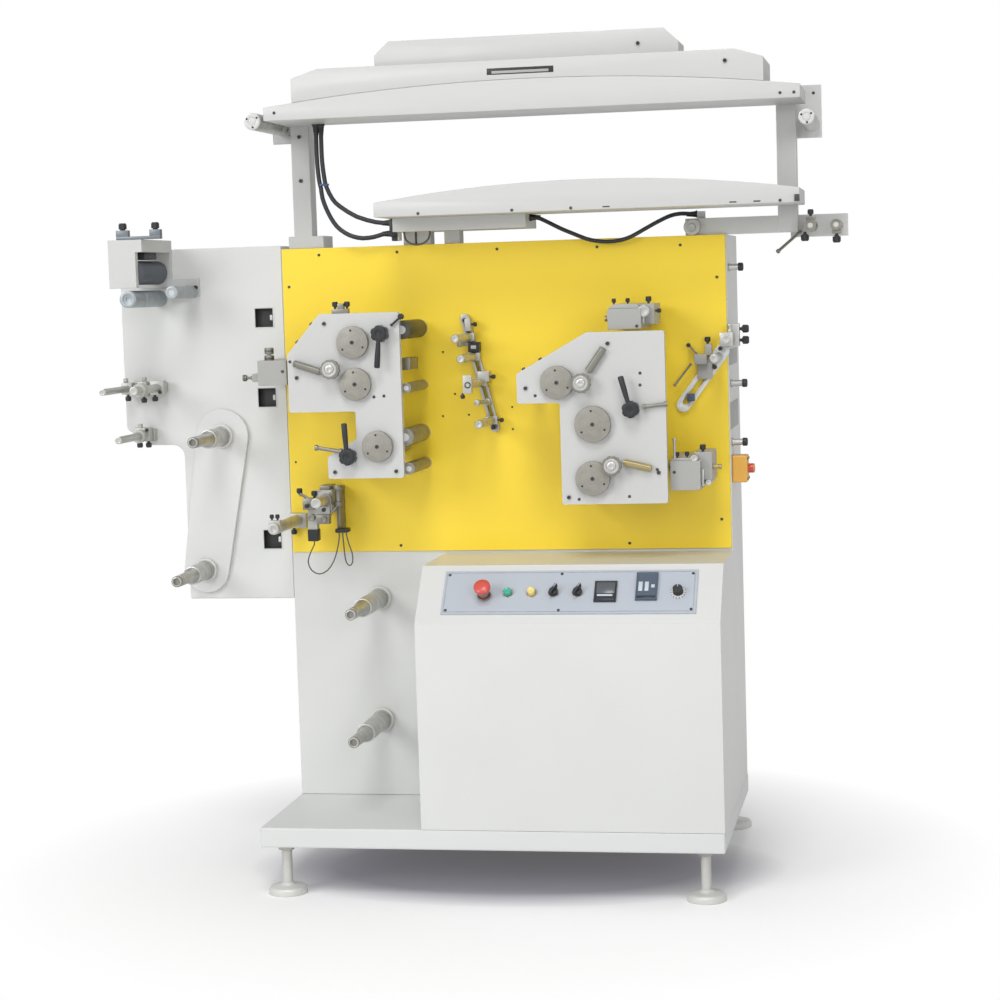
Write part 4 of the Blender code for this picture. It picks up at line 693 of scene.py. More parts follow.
class Hardware:
    """One template of each fitting, modelled on the origin along +Z."""

    def __init__(self) -> None:
        """Start without templates."""
        self.templates: dict[Fitting, Piece] = {}

    def build(self) -> None:
        """Model every template."""
        for fitting in Fitting:
            model, radius, height, _ = fitting.value
            self.templates[fitting] = getattr(self, model)(radius, height)

    def clear(self) -> None:
        """Remove the templates."""
        for template in self.templates.values():
            bpy.data.objects.remove(template, do_unlink=True)

    def painted_hole_shade(self, radius: float, height: float) -> Piece:
        """Model the dark ring of a small hole: a flat black disc that paints the shade inside it."""
        return turned("painted_hole_shade", BLACK, (Step(radius, height), Step(radius - 0.0006, 0.0001)), 16, 0.0)

    def cap_screw(self, radius: float, height: float) -> Piece:
        """Model a socket cap screw's head with its hexagon."""
        head = turned("cap_screw", SCREW, (Step(radius, height),), 24, radius * 0.12)
        return drill(head, radius * 0.55, (0.0, 0.0, height * 0.9), 6, height)

    def pan_screw(self, radius: float, height: float) -> Piece:
        """Model a domed screw head with its cross recess."""
        head = turned("pan_screw", SCREW, (Step(radius, height * 0.35), Step(radius, height * 0.4, radius * 0.8),
            Step(radius * 0.8, height * 0.25, radius * 0.45)), 20, 0.0)
        for turn in (0.0, math.pi / 2):
            deselect_all()
            bpy.ops.mesh.primitive_cube_add(size=1.0, location=(0.0, 0.0, height), rotation=(0.0, 0.0, turn))
            bpy.context.object.scale = (radius * 1.1, radius * 0.26, height * 0.8)
            carve(head, bpy.context.object)
        return head

    def hex_bolt(self, radius: float, height: float) -> Piece:
        """Model a hexagon bolt's head on its washer."""
        washer = turned("washer", ZINC, (Step(radius * 1.35, 0.0012),), 28, 0.0003)
        return joined("hex_bolt", [washer, turned("hex_head", ZINC, (Step(radius, height),), 6, 0.0005, 0.0012)])

    def thumb_knob(self, radius: float, height: float) -> Piece:
        """Model a fluted black thumb knob on its short screw."""
        stud = turned("knob_stud", BLACK, (Step(radius * 0.38, height * 0.3),), 16, 0.0)
        knob = turned("knob_head", BLACK, (Step(radius * 0.62, height * 0.15), Step(radius, height * 0.7),
            Step(radius * 0.8, height * 0.15)), 24, 0.0, height * 0.3)
        flute(knob, radius * 0.9, 24, 3, 0.9)
        return joined("thumb_knob", [stud, ease_edges(knob, 0.0005)])


HARDWARE = Hardware()


def flute(piece: Piece, outside: float, sides: int, every: int, share: float) -> None:
    """Draw some of a turned piece's side faces in towards its axis.

    Args:
        piece: The turned piece, still on the origin.
        outside: Faces closer to the axis than this stay as they are.
        sides: How many sides the piece has.
        every: One face in so many is drawn in.
        share: Share of the radius at which those faces end.
    """
    with shaping(piece, lambda face: abs(face.normal.z) < 0.3 and face.center.xy.length > outside
            and round(math.atan2(face.center.y, face.center.x) / math.tau * sides - 0.5) % every == 0):
        bpy.ops.transform.resize(value=(share, share, 1.0), center_override=(0.0, 0.0, 0.0))


def fasten(name: str, fitting: Fitting, places: Sequence[Spot], facing: Facing = Facing.OPERATOR,
        body: str = MACHINE) -> Piece:
    """Set copies of a fitting at several places, all facing one way."""
    piece = stamped(name, HARDWARE.templates[fitting], [spot(*place) for place in places], facing.matrix())
    return report(piece, body)


@dataclass(frozen=True)
class Kit:
    """Small plain parts of one finish that make one piece together.

    A block is its lowest and highest corner, a rod its two ends and radius, and a round its axis in
    x and z, its radius and the distances before the panel's plane between which it lies.
    """

    name: str
    finish: Finish
    slot: str = "steel"
    blocks: tuple[tuple[Spot, Spot], ...] = ()
    rods: tuple[tuple[Spot, Spot, float], ...] = ()
    rounds: tuple[tuple[float, float, float, float, float], ...] = ()
    edge: float = 0.001
    body: str = MACHINE

    def build(self) -> Piece:
        """Model every part and join them into the finished piece."""
        parts = [block(self.name, self.finish, low, high, self.edge) for low, high in self.blocks]
        parts += [rod_between(self.name, self.finish, start, end, radius) for start, end, radius in self.rods]
        parts += [standing(self.name, self.finish, (Step(radius, far - near), Step(radius * 0.55, -0.001)),
            (x, z), 32, self.edge * 0.6, foot=near) for x, z, radius, near, far in self.rounds]
        return report(joined(self.name, parts), self.body)


def sleeve(name: str, finish: Look, place: Flat, near: float, far: float, radius: float,
        edge: float = 0.0008) -> Piece:
    """Cover a fixed round piece that points at the operator with a smooth one, centre mark included.

    Args:
        name: Name of the sleeve.
        finish: Its finish.
        place: The axis in x and z.
        near: Distance before the panel's plane at which it starts.
        far: Distance at which it ends.
        radius: Its radius.
        edge: Width of its eased edges.

    Returns:
        The sleeve.
    """
    steps = (Step(radius, far - near), Step(radius * 0.45, -0.0012), Step(radius * 0.2, -0.002))
    piece = standing(name, finish, steps, place, edge=edge, foot=near)
    return report(piece)


# Hoses and cable
@dataclass
class Cords:
    """The two hoses to the tray and the cable under the lower dryer, as x and z at one depth."""

    depth: float = -0.035
    hose_radius: float = 0.0055
    cable_radius: float = 0.005
    samples: int = 2
    lead_radius: float = 0.0016
    relief_length: float = 0.026
    hose_routes: dict[str, tuple[Flat, ...]] = field(default_factory=lambda: {"dryer_hose_1": ((-0.4275, 1.8337),
        (-0.4275, 1.822), (-0.428, 1.784), (-0.4275, 1.744), (-0.4235, 1.704), (-0.419, 1.682), (-0.405, 1.6525),
        (-0.3867, 1.6335), (-0.3457, 1.6074), (-0.2985, 1.5925), (-0.268, 1.5895), (-0.2563, 1.5895)),
        "dryer_hose_2": ((-0.44, 1.8337), (-0.44, 1.822), (-0.4405, 1.78), (-0.44, 1.74), (-0.437, 1.7),
        (-0.433, 1.68), (-0.43, 1.6555), (-0.4221, 1.6312), (-0.4104, 1.6065), (-0.3961, 1.5852),
        (-0.3768, 1.5695), (-0.3568, 1.5598), (-0.3319, 1.5546), (-0.304, 1.5568), (-0.284, 1.562),
        (-0.27, 1.5635), (-0.2563, 1.5635))})
    cable_route: tuple[Spot, ...] = ((0.0823, -0.035, 1.59), (0.094, -0.035, 1.59), (0.108, -0.035, 1.5865),
        (0.1289, -0.035, 1.576), (0.1585, -0.035, 1.5605), (0.188, -0.035, 1.5475), (0.2176, -0.035, 1.535),
        (0.242, -0.035, 1.529), (0.2694, -0.035, 1.5262), (0.299, -0.034, 1.5285), (0.3245, -0.029, 1.5362),
        (0.3496, -0.021, 1.5495), (0.3781, -0.009, 1.5654), (0.4068, 0.005, 1.58), (0.4243, 0.0145, 1.586),
        (0.4421, 0.021, 1.5882), (0.4599, 0.025, 1.5872), (0.471, 0.0262, 1.586), (0.4797, 0.0262, 1.586))
    lead_routes: dict[str, tuple[Spot, ...]] = field(default_factory=lambda: {"sensor_lead": ((-0.4655, -0.1,
        0.8209), (-0.4655, -0.1, 0.812), (-0.476, -0.098, 0.793), (-0.485, -0.093, 0.769),
        (-0.479, -0.087, 0.747), (-0.461, -0.081, 0.7365), (-0.441, -0.076, 0.745), (-0.427, -0.071, 0.765),
        (-0.4185, -0.066, 0.79), (-0.4135, -0.062, 0.816), (-0.4125, -0.06, 0.829), (-0.4125, -0.06, 0.8372)),
        "sensor_lead_end": ((-0.405, -0.055, 0.8372), (-0.405, -0.055, 0.829), (-0.404, -0.053, 0.809),
        (-0.403, -0.051, 0.783), (-0.4, -0.05, 0.762), (-0.3915, -0.05, 0.753), (-0.3835, -0.05, 0.762),
        (-0.384, -0.051, 0.785), (-0.391, -0.053, 0.808), (-0.395, -0.055, 0.827), (-0.3955, -0.055, 0.8372)),
        "dryer_lead": ((-0.223, -0.06, 1.5655), (-0.223, -0.06, 1.561), (-0.219, -0.062, 1.547),
        (-0.206, -0.064, 1.537), (-0.19, -0.066, 1.534), (-0.174, -0.068, 1.537), (-0.161, -0.07, 1.547),
        (-0.157, -0.07, 1.561), (-0.157, -0.07, 1.5655))})
    tie_place: Spot = (-0.4262, -0.035, 1.685)

    def build(self) -> None:
        """Make the hoses, their tie, the cable, the thin leads and the reliefs at their ends."""
        routes = {name: [(x, self.depth, z) for x, z in route] for name, route in self.hose_routes.items()}
        routes["dryer_cable"] = self.cable_route
        for name, route in routes.items():
            radius = self.cable_radius if name == "dryer_cable" else self.hose_radius
            path = self.path(route)
            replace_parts(self.build_cord(name, path, radius, "medium"), name)
            self.build_reliefs(name, path, radius)
        for name, route in self.lead_routes.items():
            radius = self.lead_radius * (1.5 if name == "dryer_lead" else 1.0)
            self.build_cord(name, self.path(route), radius, "limp")
        tie = turned("hose_tie", BLUE, (Step(0.0098, 0.005),), 28, 0.0012)
        tie.data.transform(Matrix.Diagonal((1.45, 0.72, 1.0, 1.0)))
        report(put(tie, spot(*self.tie_place), Matrix()))

    def path(self, route: Sequence[Spot]) -> list[Vector]:
        """Return world points on a smooth curve through a route, with a straight leg at each end."""
        points = [spot(*place) for place in route]
        middle = points[1:-1]
        ends = [2 * middle[0] - middle[1]] + middle + [2 * middle[-1] - middle[-2]]
        path = [points[0]]
        for i in range(1, len(ends) - 2):
            before, here, after, beyond = ends[i - 1:i + 3]
            for k in range(self.samples):
                t = k / self.samples
                path.append(0.5 * (2 * here + (after - before) * t + (2 * before - 5 * here + 4 * after - beyond)
                    * t ** 2 + (3 * here - before - 3 * after + beyond) * t ** 3))
        return path + [middle[-1], points[-1]]

    def build_reliefs(self, name: str, path: Sequence[Vector], radius: float) -> None:
        """Make the tapered strain relief at each end of a hose or cable."""
        cones = []
        for place, towards in ((path[0], path[1]), (path[-1], path[-2])):
            steps = [Step(radius * 1.75, 0.004), Step(radius * 1.45, 0.003)]
            ring = (self.relief_length - 0.011) / 6
            for k in range(3):
                steps += [Step(radius * (1.42 - 0.1 * k), ring), Step(radius * (1.28 - 0.1 * k), ring)]
            cone = turned(name + "_relief", BLACK, steps + [Step(radius * 1.06, 0.004)], 28, 0.0003)
            cones.append(put(cone, place, along(towards - place)))
        report(joined(name + "_reliefs", cones))

    def build_cord(self, name: str, path: Sequence[Vector], radius: float, stiffness: str) -> Piece:
        """Args:
            name: Name of the cord.
            path: World points that it follows.
            radius: Its outer radius.

        Returns:
            The tube.
        """
        curve = bpy.data.curves.new(name + "_tube", "CURVE")
        curve.dimensions = "3D"
        curve.bevel_depth = radius
        curve.bevel_resolution = 5
        curve.use_fill_caps = True
        spline = curve.splines.new("POLY")
        spline.points.add(len(path) - 1)
        for point, place in zip(spline.points, path):
            point.co = (*place, 1.0)
        spline.use_smooth = True
        curve.materials.append((HOSE if stiffness == "medium" else LEAD).material())
        piece = shown(name + "_tube", curve)
        report(piece)
        return piece


# Base and feet
@dataclass
class Base:
    """Base frame, rear beam and four levelling feet."""

    foot_radius: float = 0.046
    stem_radius: float = 0.0125
    stem_top: float = 0.1197
    nut_radius: float = 0.0205
    nut_height: float = 0.013
    feet: dict[str, Flat] = field(default_factory=lambda: {"foot_front_left": (-0.502, -0.32),
        "foot_front_right": (0.5, -0.32), "foot_rear_left": (-0.502, 0.42), "foot_rear_right": (0.5, 0.42)})

    def build(self) -> None:
        """Dress the frame and make the feet."""
        soften("base_frame", 0.0015)
        soften("rear_foot_beam", 0.0012)
        for name, place in self.feet.items():
            self.build_foot(name, place)
        fasten("base_bolts", Fitting.HEX_BOLT, [(x, 0.3, 0.148) for x in (-0.4, -0.13, 0.13, 0.4)], Facing.REAR)

    def build_foot(self, name: str, place: Flat) -> None:
        """Make one foot: pad, ball neck, threaded stem and lock nut."""
        neck = self.stem_radius + 0.006
        pad = turned(name + "_pad", PAD, (Step(self.foot_radius, 0.012),
            Step(self.foot_radius, 0.005, self.foot_radius - 0.004), Step(self.foot_radius - 0.004, 0.003, neck),
            Step(neck, 0.006, self.stem_radius)), 48, 0.0008)
        thread = [Step(self.stem_radius - 0.0008, 0.001)]
        pitch = 0.0034
        while 0.026 + sum(step.rise for step in thread) + pitch < self.stem_top:
            thread += [Step(self.stem_radius, pitch * 0.35), Step(self.stem_radius - 0.0012, pitch * 0.65)]
        stem = turned(name + "_thread", PAD, thread, 28, 0.0, foot=0.0255)
        nut = turned(name + "_nut", ZINC, (Step(self.nut_radius, self.nut_height),), 6, 0.0012,
            foot=self.stem_top - self.nut_height - 0.001)
        piece = put(joined(name + "_finished", [pad, stem, nut]), spot(*place, 0.0), Matrix())
        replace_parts(report(piece), name)


# Housing
@dataclass
class Housing:
    """Main housing with the yellow panel, the covers behind and the small parts on the right side."""

    panel_face: float = -0.0063
    side: float = 0.55
    rear: float = 0.28
    panel_screws: tuple[Flat, ...] = ((-0.452, 1.518), (-0.255, 1.519), (-0.006, 1.518), (0.239, 1.515),
        (0.44, 1.513), (0.526, 1.434), (-0.531, 1.442), (0.525, 0.853), (-0.531, 0.853), (-0.27, 0.797),
        (0.3, 0.797))
    panel_holes: tuple[Flat, ...] = ((-0.148, 1.272), (-0.121, 1.169), (-0.153, 1.115), (-0.088, 1.117),
        (0.02, 1.134), (0.02, 1.08), (-0.531, 1.008))
    studs: tuple[Flat, ...] = ((1.457, 0.586), (1.178, 0.59), (1.036, 0.588))

    def build(self) -> None:
        """Dress the housing and add its hardware."""
        soften("main_housing", 0.0015)
        soften("yellow_panel", 0.001)
        soften("switch_box", 0.001)
        fasten("panel_screws", Fitting.PAN_SCREW, [(x, self.panel_face, z) for x, z in self.panel_screws])
        # Black discs paint the shade inside the panel's small holes.
        fasten("panel_holes", Fitting.HOLE_SHADE, [(x, self.panel_face, z) for x, z in self.panel_holes])
        self.build_right_side()
        self.build_rear()

    def build_right_side(self) -> None:
        """Make the studs, the bracket, two grey strips that paint the shade of recesses, and the switch's button
        on the right side.
        """
        x = self.side + SIT
        for number, (z, reach) in enumerate(self.studs, 1):
            stud = round_piece("side_stud_%d" % number, STEEL,
                (Step(0.0095, 0.004), Step(0.0078, reach - self.side - 0.016)), (x, 0.035, z), Facing.RIGHT, 28)
            cap = round_piece("side_stud_cap_%d" % number, BLACK, (Step(0.01, 0.01), Step(0.01, 0.002, 0.0075)),
                (reach - 0.012, 0.035, z), Facing.RIGHT, 28)
            report(stud)
            report(cap)
        # Painted shade: thin grey strips on the white side stand for the shade inside two recesses.
        Kit("side_recess_shades", GREY, "white_paint", (((x, 0.004, 1.222), (x + 0.0012, 0.216, 1.26)),
            ((x, 0.004, 1.068), (x + 0.0012, 0.216, 1.132)))).build()
        Kit("side_web_clamp", STEEL, "steel", (((x, -0.004, 1.268), (0.576, 0.022, 1.322)),
            ((0.533, -0.048, 1.27), (0.564, -0.0072, 1.302))),
            (((0.556, -0.03, 1.301), (0.556, -0.03, 1.322), 0.0045),),
            ((0.5485, 1.286, 0.0105, 0.048, 0.056),)).build()
        fasten("side_web_clamp_knobs", Fitting.WIDE_KNOB, [(0.576, 0.009, 1.309), (0.576, 0.009, 1.282)],
            Facing.RIGHT)
        low, high = own_box("switch_box")
        z = (low.z + high.z) / 2
        button = round_piece("switch_button_cap", RED, (Step(0.0116, 0.012), Step(0.0116, 0.003, 0.0095),
            Step(0.007, 0.0006)), (high.x - 0.015, (low.y + high.y) / 2, z), Facing.RIGHT, 32)
        report(button)
        lid = [(high.x - 0.016, y, z + dz) for y in (low.y + 0.008, high.y - 0.008) for dz in (-0.024, 0.024)]
        fasten("switch_screws", Fitting.PAN_SCREW, lid, Facing.RIGHT)

    def build_rear(self) -> None:
        """Make two plain service covers with vents behind, each vent a thin black sheet of painted shade, and the
        cable inlet below them.
        """
        y = self.rear + SIT
        for number, (left, right) in enumerate(((-0.52, -0.01), (0.01, 0.52)), 1):
            cover = block("rear_cover_%d" % number, WHITE, (left, y, 0.2), (right, y + 0.003, 1.5), 0.0012)
            report(cover)
            places = [(x, y + 0.003, z) for x in (left + 0.016, right - 0.016) for z in (0.216, 0.64, 1.06,
                1.484)]
            fasten("rear_cover_screws_%d" % number, Fitting.PAN_SCREW, places, Facing.REAR)
            # Painted shade: thin black capsules stand for the shaded openings of the vents.
            vents = [outlined("vent_slot_shade", BLACK, capsule((left + 0.17, z), (right - 0.17, z), 0.007, 6),
                y + 0.0028, y + 0.0034, 0.0) for z in (1.34, 1.36, 1.38, 1.4, 1.42)]
            report(joined("rear_vent_shades_%d" % number, vents))
        inlet = round_piece("power_inlet", BLACK, (Step(0.02, 0.004), Step(0.015, 0.012), Step(0.012, 0.006),
            Step(0.0075, -0.008)), (0.43, y + 0.003, 0.26), Facing.REAR, 32)
        report(inlet)


# Wing
@dataclass
class Wing:
    """Wing with its grips, the plate behind the reels, the nip unit and the two web guides."""

    grip_x: float = -0.6
    grip_heights: tuple[float, ...] = (1.368, 1.17, 0.815)
    grip_width: float = 0.046
    grip_height: float = 0.047
    grip_depth: float = 0.0178
    wall: float = 0.0016
    nip_axis: Flat = (-0.868, 1.487)
    draw_axis: Flat = (-0.868, 1.4235)
    small_axis: Flat = (-0.777, 1.437)
    guide_rods: tuple[tuple[str, Flat, float, float], ...] = (("upper_guide_rod_1", (-0.949, 1.201), 0.02,
        0.0082), ("upper_guide_rod_2", (-0.87, 1.202), 0.02, 0.0103),
        ("lower_guide_rod", (-0.914, 1.0835), 0.02, 0.009))

    def build(self) -> None:
        """Dress the wing and everything on it."""
        soften("wing_housing", 0.003, 40.0)
        soften("reel_arm_plate", 0.002, 60.0)
        soften("nip_bracket", 0.0012, 60.0)
        for number, height in enumerate(self.grip_heights, 1):
            self.build_grip(number, height)
        self.build_nip_unit()
        self.build_guides()

    def build_grip(self, number: int, height: float) -> None:
        """Make the black cup of one grip, its thin rim and the pale latch at its right edge."""
        half_x = self.grip_width / 2 - SIT
        half_z = self.grip_height / 2 - SIT
        low = (self.grip_x - half_x, -0.0012, height - half_z)
        high = (self.grip_x + half_x, self.grip_depth, height + half_z)
        cup = block("grip_cup_%d" % number, GRIP, low, high, 0.0)
        with shaping(cup, lambda face: face.normal.y < -0.9):
            bpy.ops.mesh.inset(thickness=self.wall)
            bpy.ops.mesh.extrude_region_move(TRANSFORM_OT_translate={"value": (0.0, self.grip_depth - 0.001,
                0.0)})
        report(ease_edges(cup, 0.0004))
        rim = block("grip_rim_%d" % number, TRIM, (low[0] - 0.003, -0.0011, low[2] - 0.003),
            (high[0] + 0.003, -SIT, high[2] + 0.003), 0.0)
        hole = block("grip_rim_tool", TRIM, (low[0] + TINY, -0.01, low[2] + TINY),
            (high[0] - TINY, 0.01, high[2] - TINY), 0.0)
        report(ease_edges(carve(rim, hole), 0.0003))
        latch = block("grip_latch_%d" % number, TRIM, (high[0] - 0.0075, -0.0016, height - 0.0065),
            (high[0] - 0.001, 0.01, height + 0.0065), 0.0008)
        report(latch)

    def build_nip_unit(self) -> None:
        """Make the rollers, the pad, the adjusting bar and the knobs of the nip unit."""
        x, z = self.nip_axis
        rubber = standing("nip_roller_cover", RUBBER, (Step(0.009, 0.0047), Step(0.029, 0.183),
            Step(0.009, 0.0047)), (x, z), 56, 0.0012, foot=0.0143)
        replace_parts(report(rubber, "nip_roller_body"), "nip_roller")
        x, z = self.draw_axis
        drawn = axled("draw_roller_finished", ROLLER, (Step(0.009, 0.0047), Step(0.0205, 0.15),
            Step(0.015, 0.004), Step(0.0205, 0.079), Step(0.018, 0.001), Step(0.0125, -0.003),
            Step(0.006, -0.003)), (x, z), 48, 0.0012, foot=0.0003)
        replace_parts(report(drawn, "draw_roller_body"), "draw_roller")
        sleeve("small_roller_sleeve", ROLLER.material(spot(self.small_axis[0], 0.0, self.small_axis[1])),
            self.small_axis, 0.0142, 0.1805, 0.0153)
        Kit("nip_pad_cover", BLACK, "black_plastic", (((-0.8845, -0.164, 1.519),
            (-0.846, -0.076, 1.5358)),)).build()
        Kit("nip_adjusting_bar", BLUED, "steel", (((-0.896, -0.223, 1.5662), (-0.785, -0.205, 1.574)),
            ((-0.896, -0.223, 1.5735), (-0.866, -0.205, 1.589)),
            ((-0.812, -0.223, 1.5735), (-0.785, -0.205, 1.589)))).build()
        fasten("nip_bar_knobs", Fitting.WIDE_KNOB, [(-0.881, -0.214, 1.584), (-0.799, -0.214, 1.584)], Facing.UP)
        fasten("nip_small_knobs", Fitting.SMALL_KNOB, [(-0.789, -0.015, 1.448), (-0.766, -0.015, 1.448)])

    def build_guides(self) -> None:
        """Dress the two web guides at the wing's left edge."""
        soften("wing_guide_upper", 0.0012, 60.0)
        soften("wing_guide_lower", 0.0012, 60.0)
        for name, place, near, radius in self.guide_rods:
            sleeve(name, BARE, place, near, 0.2203, radius)
        Kit("upper_guide_clamps", PLATED, "steel", (((-0.963, -0.046, 1.187), (-0.936, -0.0203, 1.216)),
            ((-0.922, -0.044, 1.182), (-0.898, -0.0203, 1.218)),
            ((-0.888, -0.048, 1.185), (-0.853, -0.0203, 1.22))),
            (((-0.955, -0.033, 1.215), (-0.955, -0.033, 1.227), 0.004),
            ((-0.906, -0.033, 1.217), (-0.906, -0.033, 1.229), 0.004)),
            ((-0.87, 1.202, 0.017, 0.15, 0.168),)).build()
        Kit("lower_guide_clamps", PLATED, "steel", (((-0.932, -0.048, 1.07), (-0.894, -0.0203, 1.103)),),
            (((-0.922, -0.034, 1.102), (-0.922, -0.034, 1.113), 0.004),),
            ((-0.914, 1.0835, 0.016, 0.058, 0.076),)).build()
        fasten("guide_knobs", Fitting.KNOB, [(-0.95, -0.034, 1.187), (-0.909, -0.033, 1.182),
            (-0.88, -0.034, 1.185), (-0.925, -0.034, 1.07), (-0.902, -0.034, 1.07)], Facing.DOWN)
        fasten("guide_clamp_screws", Fitting.CAP_SCREW, [(-0.91, -0.044, 1.206), (-0.861, -0.048, 1.191),
            (-0.9, -0.048, 1.098)])


# Reel spindles
@dataclass
class Spindles:
    """Four reel spindles: a flange, a thick core and a slim tip with a knurled end."""

    wing_face: float = 0.0123
    wing_reach: float = 0.25
    panel_reach: float = 0.302
    flange_radius: float = 0.03
    core_radius: float = 0.023
    tip_radius: float = 0.014
    tip_length: float = 0.115
    run: float = 0.005
    flange: float = 0.008
    places: dict[str, Flat] = field(default_factory=lambda: {"wing_spindle_upper": (-0.717, 1.0766),
        "wing_spindle_lower": (-0.772, 0.741), "panel_spindle_upper": (-0.3295, 0.666),
        "panel_spindle_lower": (-0.333, 0.36)})

    def build(self) -> None:
        """Make all four."""
        for name, place in self.places.items():
            on_wing = name.startswith("wing")
            self.build_spindle(name, place, self.wing_face if on_wing else 0.0003,
                self.wing_reach if on_wing else self.panel_reach)

    def build_spindle(self, name: str, place: Flat, face: float, reach: float) -> None:
        """Make one spindle.

        Args:
            name: Name of its CAD node.
            place: Its axis in x and z.
            face: Distance before the panel's plane of the face it stands on.
            reach: Distance at which its tip ends.
        """
        x, z = place
        step = reach - self.tip_length
        core_start = face + self.run + self.flange
        knurl = reach - 0.016
        core = self.core_radius
        shaft = axled(name + "_shaft", STEEL, (Step(0.01, self.run + self.flange), Step(core, 0.012),
            Step(core - 0.0012, 0.003), Step(core, step - core_start - 0.019), Step(core - 0.003, 0.004),
            Step(core - 0.003, 0.01, self.tip_radius), Step(self.tip_radius, knurl - step - 0.01),
            Step(self.tip_radius - 0.0015, 0.014), Step(self.tip_radius - 0.003, 0.002),
            Step(self.tip_radius - 0.005, -0.009)), (x, z), 48, 0.001, foot=face)
        body = name + "_body"
        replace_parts(report(shaft, body), name)
        radius = self.flange_radius
        ring = turned(name + "_flange_ring", PAD, (Step(radius - 0.001, 0.001), Step(radius, self.flange - 0.003),
            Step(radius, 0.002, radius - 0.002), Step(core + 0.0022, -0.0012)), 56, 0.0004, foot=face + self.run)
        report(put(ring, spot(x, 0.0, z), Facing.OPERATOR.matrix()), body)
        cuffs = []
        for start, rise, extra in ((core_start + 0.0115, 0.0045, 0.0003), (knurl - 0.006, 0.003, 0.0)):
            cuff_radius = (core if start < step else self.tip_radius) + extra
            cuffs.append(turned("cuff", DULL, (Step(cuff_radius, rise),), 40, 0.0003, foot=start))
        grip = turned("grip", DULL, (Step(self.tip_radius + 0.0003, 0.011),
            Step(self.tip_radius - 0.004, -0.005)), 36, 0.0, foot=knurl + 0.003)
        flute(grip, self.tip_radius * 0.9, 36, 2, 0.95)
        cuffs.append(ease_edges(grip, 0.0))
        knurled = joined(name + "_knurled_end", cuffs)
        report(put(knurled, spot(x, 0.0, z), Facing.OPERATOR.matrix()), body)


